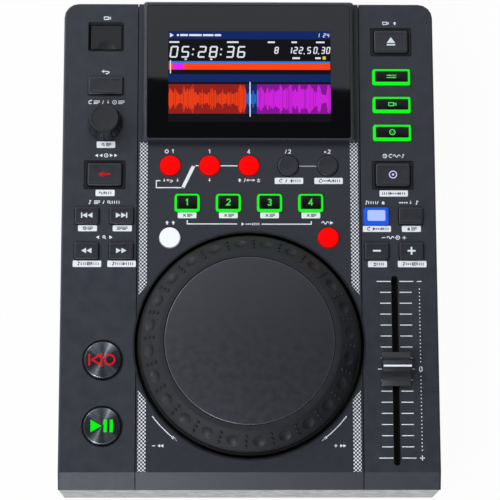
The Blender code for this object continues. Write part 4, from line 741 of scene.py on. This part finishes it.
made(wheel_mesh(), "jog_rim", [rubber, groove_shade], "jog", "wheel_black", ("jog_wheel",), angle=24)
DISC_TOP, DISC_DEEP = DECK + PLATE_UP, 2.0 * MM
bm = bmesh.new()
turned(bm, JOG, [
    (0.0, DISC_TOP), (TOUCH_R - 0.5 * MM, DISC_TOP), (TOUCH_R - 0.34 * MM, DISC_TOP - 0.05 * MM),
    (TOUCH_R - 0.02 * MM, DISC_TOP - 0.32 * MM), (TOUCH_R, DISC_TOP - 0.4 * MM), (TOUCH_R, DISC_TOP - DISC_DEEP),
    (0.0, DISC_TOP - DISC_DEEP),
], 240)
# painted highlight: the faces of the plate's edge chamfer take the light rim paint
for item in bm.faces:
    out = item.calc_center_median() - JOG
    if TOUCH_R - 0.45 * MM < hypot(out.x, out.y) and PLATE_UP - 0.4 * MM < out.z < PLATE_UP - 0.01 * MM:
        item.material_index = 1
made(bm, "touch_disc", [plate, rim_painted_highlight], "jog", "wheel_black", ("jog_touch_plate",))

# Browse knob
KNOB = middle("browse_knob")
KNOB_FOOT, KNOB_TOP = heights("browse_knob")
GRIPS, KNOB_SIDES = 12, 240
# In millimetres: depth of a grip, height up to which it's full, height over which it fades, and the wall's radius
GRIP_DEEP, GRIP_FULL, GRIP_FADE, WALL_R = 0.75, 3.2, 4.5, 8.3


def knob_mesh():
    """A flared knob: finger grips are scooped into its skirt and fade out up its wall."""
    bm = bmesh.new()
    profile = [(3.3, 6.5), (3.3, 0.0), (9.9, 0.0), (10.3, 0.35), (10.3, 1.6), (10.15, 2.1), (9.6, 2.8), (9.3, 3.2),
               (9.0, 4.4), (8.75, 5.6), (8.6, 7.0), (8.45, 9.0), (8.3, 10.3), (8.2, 10.7), (7.9, 11.0), (7.5, 11.0),
               (7.2, 10.7), (4.0, 10.6), (0.0, 10.6), (0.0, 6.5)]
    scale = (KNOB_TOP - KNOB_FOOT) / max(height for _radius, height in profile)
    rings = []
    for radius, height in profile:
        ring = []
        for i in range(KNOB_SIDES if radius else 1):
            angle = TAU * i / KNOB_SIDES
            wave = max(cos(angle * GRIPS), 0.0) ** 1.5
            fade = 1.0 if height <= GRIP_FULL else max(0.0, 1 - (height - GRIP_FULL) / GRIP_FADE)
            deep = GRIP_DEEP * wave * fade if radius > WALL_R else 0.0
            r = (radius - deep) * MM
            ring.append((KNOB.x + r * cos(angle), KNOB.y + r * sin(angle), KNOB_FOOT + height * scale))
        rings.append(ring)
    loft(bm, rings, closed=True)
    return bm


knob_paint = Paint("knob_rubber", (30, 31, 35), 0.5, grain=0.3, bump=0.012, mottle=0.12)
made(knob_mesh(), "browse_grip", knob_paint, "browse", "soft_black", ("browse_knob",))

# Pitch fader cap
FADER = middle("pitch_cap")
FADER_FOOT, FADER_TOP = heights("pitch_cap")
FADER_HALF = 16.6 / 2 * MM
LINE_PROUD, LINE_HALF = 0.06 * MM, 0.55 * MM


def fader_outline(inset=0.0):
    """The cap's side view: an upright foot, a concave slope up to the ridge, and the same back down."""
    foot_half, ridge_half, foot = 9.8 * MM - inset, 3.1 * MM - inset / 2, 2.2 * MM
    tall = FADER_TOP - FADER_FOOT - LINE_PROUD - inset
    half = [(foot_half - 0.25 * MM, 0.0), (foot_half, 0.25 * MM), (foot_half, foot - 0.3 * MM)]
    for i in range(1, 12):
        turn = TAU / 4 * i / 12
        half.append((ridge_half + (foot_half - ridge_half) * (1 - sin(turn)),
                     foot + (tall - foot) * (1 - cos(turn))))
    half += [(ridge_half, tall - 0.35 * MM), (ridge_half - 0.12 * MM, tall - 0.1 * MM), (ridge_half - 0.4 * MM, tall)]
    return half + [(-y, z) for y, z in reversed(half)]


def fader_mesh():
    bm = bmesh.new()
    ends = ((FADER_HALF, 0.3 * MM), (FADER_HALF - 0.1 * MM, 0.1 * MM), (FADER_HALF - 0.35 * MM, 0.0))
    rings = []
    for side, inset in [(-side, inset) for side, inset in ends] + list(ends[::-1]):
        rings.append([(FADER.x + side, FADER.y + y, FADER_FOOT + z) for y, z in fader_outline(inset)])
    loft(bm, rings)
    return bm


fader_paint = Paint("fader_plastic", (40, 41, 45), 0.38, grain=0.3, bump=0.008, mottle=0.1)
made(fader_mesh(), "fader_cap", fader_paint, "pitch", "soft_black", ("pitch_cap",))
bm = bmesh.new()
span = FADER_HALF - 0.3 * MM
corners = ((-LINE_HALF, 1), (LINE_HALF, 1), (LINE_HALF, 0), (-LINE_HALF, 0))
loft(bm, [[(FADER.x + x, FADER.y + y, FADER_TOP - let_in * 0.15 * MM) for y, let_in in corners] for x in (-span, span)])
loft(bm, [[(FADER.x - FADER_HALF + let_in * 0.05 * MM, FADER.y + y, FADER_FOOT + z) for y, let_in in corners]
          for z in (3.0 * MM, FADER_TOP - FADER_FOOT - 0.4 * MM)])
made(bm, "fader_line", white_ink, "pitch", "white_cap", smooth=False)

# Socket lid
LID = middle("usb_lid")
LID_FOOT, LID_TOP = heights("usb_lid")
SCOOP_R, SCOOP_DEEP = 5.5 * MM, 0.7 * MM


def lid_mesh():
    """The flap with eased edges, and a thumb scoop dished into its front edge."""
    bm = bmesh.new()
    low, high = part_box("usb_lid")
    width, depth = high.x - low.x, high.y - low.y
    across, along, ease = 48, 40, 0.3 * MM
    grid = {}
    for i in range(across + 1):
        for j in range(along + 1):
            x = LID.x + (i / across - 0.5) * (width - 2 * ease)
            y = LID.y + (j / along - 0.5) * (depth - 2 * ease)
            reach = hypot(x - LID.x, y - low.y)
            deep = SCOOP_DEEP * max(0.0, 1 - (reach / SCOOP_R) ** 2)
            grid[i, j] = bm.verts.new((x, y, LID_TOP - deep))
    for i in range(across):
        for j in range(along):
            bm.faces.new((grid[i, j], grid[i + 1, j], grid[i + 1, j + 1], grid[i, j + 1]))
    edge = [grid[i, 0] for i in range(across)] + [grid[across, j] for j in range(along)]
    edge += [grid[i, along] for i in range(across, 0, -1)] + [grid[0, j] for j in range(along, 0, -1)]

    def outward(offset, half):
        """-1 or 1 on the grid's rim and 0 inside it."""
        share = max(-1, min(1, offset / (half - ease) * 1.0001))
        return share if abs(share) > 0.99999 else 0

    loops = [edge]
    for out, down in ((0.7, 0.3), (1.0, 1.0)):
        loops.append([bm.verts.new((
            x + outward(x - LID.x, width / 2) * ease * out, y + outward(y - LID.y, depth / 2) * ease * out,
            min(z, LID_TOP) - down * ease)) for x, y, z in (vert.co for vert in edge)])
    loops.append([bm.verts.new((v.co.x, v.co.y, LID_FOOT)) for v in loops[-1]])
    for a, b in zip(loops, loops[1:]):
        for i in range(len(a)):
            j = (i + 1) % len(a)
            bm.faces.new((a[i], a[j], b[j], b[i]))
    bm.faces.new(loops[-1][::-1])
    return bm


lid_paint = Paint("lid_plastic", (14, 15, 19), 0.5, grain=0.3, bump=0.015, mottle=0.14)
made(lid_mesh(), "socket_lid", lid_paint, "lid", "satin_black", ("usb_lid",), angle=40)


# Printed marks on the covers
def mark(pen, sign, x, y, size, weight=0.16, ink=0, lift=0.0):
    pen.sign(sign, x * MM, y * MM, size * MM, weight, ink, lift)


def row(pen, y, size, weight, signs, *places):
    """Signs side by side, with the x of each."""
    for x, sign in zip(places, signs.split()):
        mark(pen, sign, x, y, size, weight)


def tab(pen, x, y, width, depth, signs):
    """A printed tab with dark signs on it."""
    outline = ring_at((width * MM, depth * MM, 0.55 * MM), 0, 12)
    pen.fill([(x * MM + px, y * MM + py) for px, py in outline])
    signs = signs.split()
    for index, sign in enumerate(signs):
        mark(pen, sign, x + (index - (len(signs) - 1) / 2) * 3.1, y, 2.0, 0.22, 1, 0.015 * MM)


INKS = [white_ink, dark_ink, grey_ink]

left = Pen(DECK, "base", INKS)
mark(left, "stick", -83.8, 131.15, 2.3, 0.22)
mark(left, "return", -84.0, 98.05, 2.6, 0.2)
row(left, 79.45, 2.3, 0.2, "turn lines slash push disc lines", -93.0, -89.2, -85.6, -82.6, -78.8, -74.8)
tab(left, -83.6, 53.65, 10.9, 3.9, "search lines")
row(left, 47.15, 2.1, 0.2, "left left disc right right", -89.0, -86.4, -83.4, -80.4, -77.8)
tab(left, -83.8, 24.55, 11.1, 3.8, "wave bars")
row(left, 19.0, 2.2, 0.2, "note lines slash search bars", -92.4, -88.4, -84.6, -81.4, -77.6)
tab(left, -93.8, 3.45, 11.1, 3.6, "clock lines")
tab(left, -73.6, 3.45, 11.1, 3.6, "lines lines")
row(left, -1.9, 2.2, 0.2, "left search right", -87.8, -84.0, -80.2)
tab(left, -93.8, -17.65, 16.5, 3.8, "note bars lines bars")
tab(left, -73.8, -17.65, 16.5, 3.8, "note bars right bars")
left.done("left_marks", "white_cap")

right = Pen(DECK, "base", INKS)
row(right, 128.35, 2.1, 0.22, "stick up", 81.0, 86.6)
row(right, 47.05, 2.2, 0.2, "disc turn wave note", 79.6, 83.0, 86.6, 90.4)
tab(right, 84.45, 24.45, 16.6, 3.7, "bars right dots bars")
row(right, 18.95, 2.2, 0.2, "note bars slash lock dots push note", 68.6, 71.8, 75.0, 78.2, 90.0, 94.2, 98.0)
tab(right, 74.35, 3.25, 16.35, 3.6, "turn right dots bars")
tab(right, 94.4, 3.25, 11.1, 3.6, "lock lines")
row(right, -1.95, 2.1, 0.22, "minus wave disc plus", 78.2, 82.2, 86.4, 90.2)
tab(right, 74.4, -17.7, 11.0, 3.7, "range bars")
tab(right, 94.5, -17.65, 16.65, 3.8, "note dots lines bars")
SCALE_TOP, SCALE_LONG, SCALE_X = -27.95, 102.7, 98.4
for index in range(17):
    y = SCALE_TOP - index * SCALE_LONG / 16
    long_mark = index % 8 == 0
    right.line([((73.8 if long_mark else 75.6) * MM, y * MM), (81.9 * MM, y * MM)], 0.5 * MM)
    right.line([(86.9 * MM, y * MM), ((95.0 if long_mark else 93.9) * MM, y * MM)], 0.5 * MM)
mark(right, "minus", SCALE_X, SCALE_TOP, 2.6, 0.2)
mark(right, "0", SCALE_X, -79.3, 2.8, 0.18)
mark(right, "plus", SCALE_X, -130.65, 2.8, 0.2)
for index in range(45):
    y = -32.5 - index * 2.13
    if abs(y + 79.3) > 3.2:
        right.disc(SCALE_X * MM, y * MM, 0.36 * MM, 0, steps=8)
right.done("right_marks", "white_cap")

front = Pen(DECK, "base", INKS)
row(front, 49.65, 2.4, 0.2, "loop 1 1 4", -48.0, -44.4, -23.0, 0.0)
row(front, 49.65, 2.4, 0.18, "slash 2 cross 2", 21.7, 23.9, 44.7, 47.0)
row(front, 32.1, 2.2, 0.2, "push return push", -49.4, -46.0, -41.6)
mark(front, "push", -23.0, 32.35, 2.4, 0.2)
row(front, 32.35, 2.2, 0.2, "up slash both range", -5.4, -2.4, 1.0, 5.6)
tab(front, 23.35, 31.95, 16.6, 3.7, "turn slash up bars")
tab(front, 46.5, 31.95, 16.6, 3.7, "turn dots wave bars")
for number in (1, 2, 3, 4):
    tab(front, (number - 2.5) * 24.0, 11.25, 10.9, 3.5, "delete lines")
row(front, 6.05, 1.9, 0.22, "right dots bars", -3.6, 0.2, 4.0)
row(front, 6.85, 2.2, 0.2, "up up wave right", -47.6, -44.0, 44.4, 48.0)


def rule(points, width=0.62, ink=0):
    front.line([(x * MM, y * MM) for x, y in points], width * MM, ink)


rule([(-51.6, 32.0), (-54.0, 32.0), (-54.0, 27.8), (-38.0, 27.8)])
front.fill([(x * MM, y * MM) for x, y in ((-39.7, 27.6), (-37.5, 27.6), (-31.0, 41.25), (-33.2, 41.25))])
rule([(-33.0, 41.0), (-29.4, 41.0)])
rule([(-16.6, 41.0), (-6.6, 41.0)])
rule([(29.5, 40.8), (39.4, 40.8)], 0.5, 2)
rule([(-35.9, 8.3), (-35.9, 6.1), (-6.9, 6.1)])
rule([(7.3, 6.0), (36.2, 6.0), (36.2, 7.8)])
ARROW_R = 69.3 * MM
for side in (-1, 1):
    points = round_points(JOG.x, JOG.y, ARROW_R, [radians(270 + side * (37.2 + 16.0 * i / 10)) for i in range(11)])
    front.line(points, 0.5 * MM)
    tip, tail = Vector(points[0]), Vector(points[2])
    along = (tip - tail).normalized()
    across = Vector((-along.y, along.x))
    front.fill([tuple(tip + along * ahead * MM + across * aside * MM)
                for ahead, aside in ((1.0, 0), (-3.0, 0.85), (-2.2, 0), (-3.0, -0.85))])
mark(front, "minus", -54.6, -123.6, 1.7, 0.26)
row(front, -123.6, 1.9, 0.16, "left left", -51.6, -49.8)
mark(front, "plus", 49.2, -123.6, 1.8, 0.26)
row(front, -123.6, 1.9, 0.16, "right right", 52.4, 54.2)
front.done("centre_marks", "white_cap")

STRIP_IN, STRIP_OUT, STRIP_SLANT = 59.15, 63.75, 5.6
for side in (-1, 1):
    for name, high, low, above, below in (("upper", 55.05, -35.75, 0, 1), ("lower", -91.75, -138.45, 1, 0)):
        inner, outer = side * STRIP_IN, side * STRIP_OUT
        outline = [(outer, high), (inner, high - above * STRIP_SLANT), (inner, low + below * STRIP_SLANT), (outer, low)]
        bm = bmesh.new()
        prism(bm, [(x * MM, y * MM) for x, y in outline], DECK - 0.03 * MM, DECK + FILM)
        made(bm, f"{name}_strip_{'left' if side < 0 else 'right'}", dotted, "base", "white_cap", smooth=False)

# Display picture
WIDE_PICTURE, TALL_PICTURE = 95.5, 55.5
SCREEN_X, SCREEN_Y = 0.45 * MM - WIDE_PICTURE / 2 * MM, 93.95 * MM + TALL_PICTURE / 2 * MM
LENS_TOP = heights("display_lens")[1]


def glow_ink(name, colour):
    paint = Paint(name, (4, 4, 5), 0.6, grain=0.25, bump=0.001, mottle=0.2)
    paint.set(Specular_IOR_Level=0.1)
    return paint.glow(colour, 1.0)


GLOWS = {
    "black": (6, 5, 12), "white": (226, 232, 240), "blue": (8, 34, 96), "orange": (255, 66, 8),
    "magenta": (226, 34, 240), "rust": (142, 26, 18), "purple": (128, 14, 142), "sky": (40, 120, 225),
    "yellow": (226, 206, 60),
}
SHOWN = [glow_ink(f"screen_{name}", colour) for name, colour in GLOWS.items()]
BLACK, WHITE, BLUE, ORANGE, MAGENTA, RUST, PURPLE, SKY, YELLOW = range(9)
screen = Pen(LENS_TOP, "base", SHOWN)


def spot(x, y):
    """A place on the picture, in millimetres right and down from its upper left corner."""
    return SCREEN_X + x * MM, SCREEN_Y - y * MM


def block(x0, y0, x1, y1, ink, lift=0.01):
    screen.fill([spot(x0, y1), spot(x1, y1), spot(x1, y0), spot(x0, y0)], ink, lift * MM)


# Bars of a number as x, y to x, y: top, middle, low, then left and right above, left and right below
SEGMENTS = ((0, 1, 1, 1), (0, 0.5, 1, 0.5), (0, 0, 1, 0),
            (0, 0.5, 0, 1), (1, 0.5, 1, 1), (0, 0, 0, 0.5), (1, 0, 1, 0.5))
UNLIT = ((1,), (0, 1, 2, 3, 5), (3, 6), (3, 5), (0, 2, 5), (4, 5), (4,), (1, 2, 3, 5), (), (5,))
SLANT = 0.12


def digits(text, x, y, width, height, pitch, weight):
    """Numbers drawn in seven bars each; y is their top edge."""
    for char in text:
        if char in ":.":
            for level in ((0.28, 0.72) if char == ":" else (0.02,)):
                px, py = spot(x + width * 0.05 + SLANT * level * height, y + height * (1 - level))
                screen.disc(px, py, weight * 0.62 * MM, WHITE, 0.03 * MM, 8)
            x += pitch * 0.5
            continue
        for bar, (ax, ay, bx, by) in enumerate(SEGMENTS):
            if bar in UNLIT[int(char)]:
                continue
            ends = []
            for sx, sy in ((ax, ay), (bx, by)):
                px = x + weight / 2 + sx * (width - weight) + SLANT * sy * height
                py = y + height - weight / 2 - sy * (height - weight)
                ends.append(Vector(spot(px, py)))
            run = (ends[1] - ends[0]).normalized() * (weight * 0.12) * MM
            screen.line([tuple(ends[0] + run), tuple(ends[1] - run)], weight * MM, WHITE, 0.03 * MM)
        x += pitch


def dashes(x, y, widths, height):
    """A row of small bars that stands for a line of text."""
    for width in widths:
        block(x, y, x + width, y + height, WHITE, 0.03)
        x += width + 0.7


block(0, 0, WIDE_PICTURE, TALL_PICTURE, BLACK, 0.0)
block(0, 0, WIDE_PICTURE, 5.0, BLUE)
screen.fill([spot(0.9, 1.2), spot(0.9, 3.9), spot(3.2, 2.55)], WHITE, 0.03 * MM)
dashes(5.0, 1.9, (1.2, 4.6, 7.4, 6.2, 3.8), 1.2)
digits("1", 87.4, 1.2, 1.5, 2.6, 2.1, 0.38)
digits("24", 91.0, 1.2, 1.5, 2.6, 2.1, 0.38)
for x, width in ((0.6, 5.8), (34.5, 6.8), (58.5, 4.2), (72.5, 3.2), (87.0, 5.0)):
    dashes(x, 6.3, (width,), 1.0)
digits("05:28:36", 0.6, 9.2, 4.7, 7.2, 6.6, 0.9)
dashes(9.6, 16.9, (1.3,), 0.9)
dashes(24.6, 16.9, (1.3,), 0.9)
digits("8", 62.2, 9.6, 2.4, 4.3, 3.3, 0.65)
digits("122.5", 70.2, 9.6, 2.4, 4.3, 3.2, 0.65)
digits("0.30", 85.2, 9.6, 2.3, 4.3, 3.0, 0.62)
dashes(73.0, 16.0, (4.4,), 1.1)
dashes(86.4, 16.0, (3.2,), 1.1)
block(90.8, 15.5, 92.6, 17.4, YELLOW, 0.03)
block(0.3, 18.5, 95.2, 19.7, SKY)
block(0.3, 19.8, 95.2, 23.7, ORANGE)
block(2.8, 19.8, 9.1, 23.7, MAGENTA, 0.03)
block(1.0, 18.0, 1.6, 26.0, WHITE, 0.04)
block(0.0, 26.5, WIDE_PICTURE, 31.2, BLUE)
FIRST_END, SECOND_END, WAVE_Y = 45.4, 52.1, 41.5
block(0.3, 32.6, FIRST_END, 50.5, RUST)
block(45.6, 32.6, SECOND_END, 50.5, BLUE)
block(SECOND_END, 32.6, 95.4, 50.5, PURPLE)
draw = random.Random(11)
x, level = 0.35, 0.6
while x < 95.0:
    level = min(max(level + draw.uniform(-0.34, 0.34), 0.3), 1.0)
    swell = 0.55 + 0.35 * sin(x * 0.55) ** 2 + 0.1 * sin(x * 2.3)
    reach = 8.7 * min(level * swell + 0.1, 1.0)
    ink = ORANGE if x < FIRST_END else (SKY if x < SECOND_END else MAGENTA)
    block(x, WAVE_Y - reach, x + 0.3, WAVE_Y + reach, ink, 0.02)
    x += 0.42 if draw.random() < 0.8 else 0.62
block(47.7, 31.2, 48.3, 52.3, WHITE, 0.04)
screen.done("display_picture", "display_panel")

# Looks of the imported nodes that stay
LOOKS = {name: look for look, names in (
    (panel, "left_cover right_cover"), (smooth, "centre_cover"), (case, "bottom_case power_rocker"),
    (housing, "display_housing"), (lens, "display_lens"),
    (gloss, "display_module pitch_fader_body power_inlet power_switch_body"), (bronze, "jog_bearing audio_jacks"),
    (steel, "jog_spindle browse_shaft pitch_lever usb_socket computer_socket"),
) for name in names.split()}
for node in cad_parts:
    name = node if isinstance(node, str) else node.get("name")
    piece = bpy.data.objects.get(name)
    if piece is None:
        continue
    rest = fibre if name.endswith("board") else foot_rubber if name.startswith("foot") else cap_dark
    look = LOOKS.get(name, rest)
    if piece.data.materials:
        for index in range(len(piece.data.materials)):
            piece.data.materials[index] = look.material
    else:
        piece.data.materials.append(look.material)


# Studio
PAPER, PAPER_GLOW = 0.86, 0.96


def stage_material():
    """Paper that is white to the camera and in reflections, and still takes the player's shadow."""
    material = bpy.data.materials.new("studio_paper")
    material.use_nodes = True
    tree = material.node_tree
    tree.nodes.clear()
    output, mix, diffuse, light, path, first, second, share = (tree.nodes.new(f"ShaderNode{kind}") for kind in (
        "OutputMaterial", "MixShader", "BsdfDiffuse", "Emission", "LightPath", "Math", "Math", "Math"))
    diffuse.inputs["Color"].default_value = (PAPER, PAPER, PAPER, 1)
    first.operation = second.operation = "MAXIMUM"
    share.operation = "MULTIPLY"
    share.inputs[1].default_value = PAPER_GLOW
    for source, target in (
        (path.outputs["Is Camera Ray"], first.inputs[0]), (path.outputs["Is Glossy Ray"], first.inputs[1]),
        (first.outputs[0], second.inputs[0]), (path.outputs["Is Transmission Ray"], second.inputs[1]),
        (second.outputs[0], share.inputs[0]), (share.outputs[0], mix.inputs[0]), (diffuse.outputs[0], mix.inputs[1]),
        (light.outputs[0], mix.inputs[2]), (mix.outputs[0], output.inputs["Surface"]),
    ):
        tree.links.new(source, target)
    return material


def studio_floor():
    """A sheet of paper that runs back and curves up behind the table."""
    bm = bmesh.new()
    half, front_edge, turn_at, radius, top = 3.2, -3.0, 1.6, 1.4, 3.0
    profile = [(front_edge, 0.0), (turn_at, 0.0)]
    for i in range(1, 13):
        angle = TAU / 4 * i / 12
        profile.append((turn_at + radius * sin(angle), radius * (1 - cos(angle))))
    profile.append((turn_at + radius, top))
    rows = [[bm.verts.new((x, y, z)) for x in (-half, half)] for y, z in profile]
    for a, b in zip(rows, rows[1:]):
        bm.faces.new((a[0], a[1], b[1], b[0]))
    mesh = bpy.data.meshes.new("studio_floor")
    bm.to_mesh(mesh)
    bm.free()
    mesh.materials.append(stage_material())
    mesh.shade_smooth()
    linked("studio_floor", mesh)


def softbox(name, at, aim, size, radiance, skew=0.0):
    """A lamp with a rectangular face, aimed at a place and turned by skew degrees about the vertical."""
    data = bpy.data.lights.new(name, "AREA")
    data.shape = "RECTANGLE"
    data.size, data.size_y = size
    data.energy = radiance * pi * size[0] * size[1]
    data.color = (0.93, 0.98, 1.06)
    lamp = linked(name, data)
    lamp.location = at
    turn = (Vector(aim) - Vector(at)).to_track_quat("-Z", "Y").to_matrix()
    lamp.rotation_euler = (Matrix.Rotation(radians(skew), 3, "Z") @ turn).to_euler()
    lamp.visible_camera = False


def sky():
    """Soft light all round: less from straight above, and more from the left."""
    world = bpy.data.worlds.new("studio_air")
    bpy.context.scene.world = world
    world.use_nodes = True
    tree = world.node_tree
    background = tree.nodes["Background"]
    place, axes, both = (tree.nodes.new(f"ShaderNode{kind}") for kind in ("TexCoord", "SeparateXYZ", "Math"))
    both.operation = "MULTIPLY"
    tree.links.new(place.outputs["Generated"], axes.inputs[0])
    for index, (axis, values) in enumerate((("Z", (0.80, 0.96, 0.52, 0.08)), ("X", (-1.0, 1.0, 1.8, 0.2)))):
        ramp = tree.nodes.new("ShaderNodeMapRange")
        for socket, value in zip(("From Min", "From Max", "To Min", "To Max"), values):
            ramp.inputs[socket].default_value = value
        tree.links.new(axes.outputs[axis], ramp.inputs["Value"])
        tree.links.new(ramp.outputs[0], both.inputs[index])
    tree.links.new(both.outputs[0], background.inputs["Strength"])
    background.inputs["Color"].default_value = (0.95, 0.97, 1.0, 1)


studio_floor()
sky()
softbox("key_box", (-0.34, -0.76, 0.86), (0.0, 0.0, 0.03), (0.45, 0.35), 11.0)
softbox("rear_box", (0.0, 0.97, 1.8), (0.0, 0.02, 0.05), (1.5, 0.7), 0.9, -3.4)
softbox("side_box", (-1.0, 0.75, 1.05), (0.0, 0.0, 0.03), (0.8, 0.6), 5.0)

# Camera
CAMERA_AT = (-0.0205, -0.30875, 1.3903)
CAMERA_RIGHT = Vector((0.9999, -0.0024, 0.0151))
CAMERA_VIEW = Vector((0.0153, 0.2178, -0.9759)).normalized()
CAMERA_LENS, CAMERA_SENSOR = 170.7, 36.0
camera_data = bpy.data.cameras.new("photo_camera")
camera_data.lens = CAMERA_LENS
camera_data.sensor_width = CAMERA_SENSOR
camera = linked("photo_camera", camera_data)
up = CAMERA_RIGHT.cross(CAMERA_VIEW).normalized()
side = CAMERA_VIEW.cross(up).normalized()
turn = Matrix((side, up, -CAMERA_VIEW)).transposed()
camera.matrix_world = Matrix.Translation(CAMERA_AT) @ turn.to_4x4()
bpy.context.scene.camera = camera
bpy.context.scene.view_settings.view_transform = "Standard"
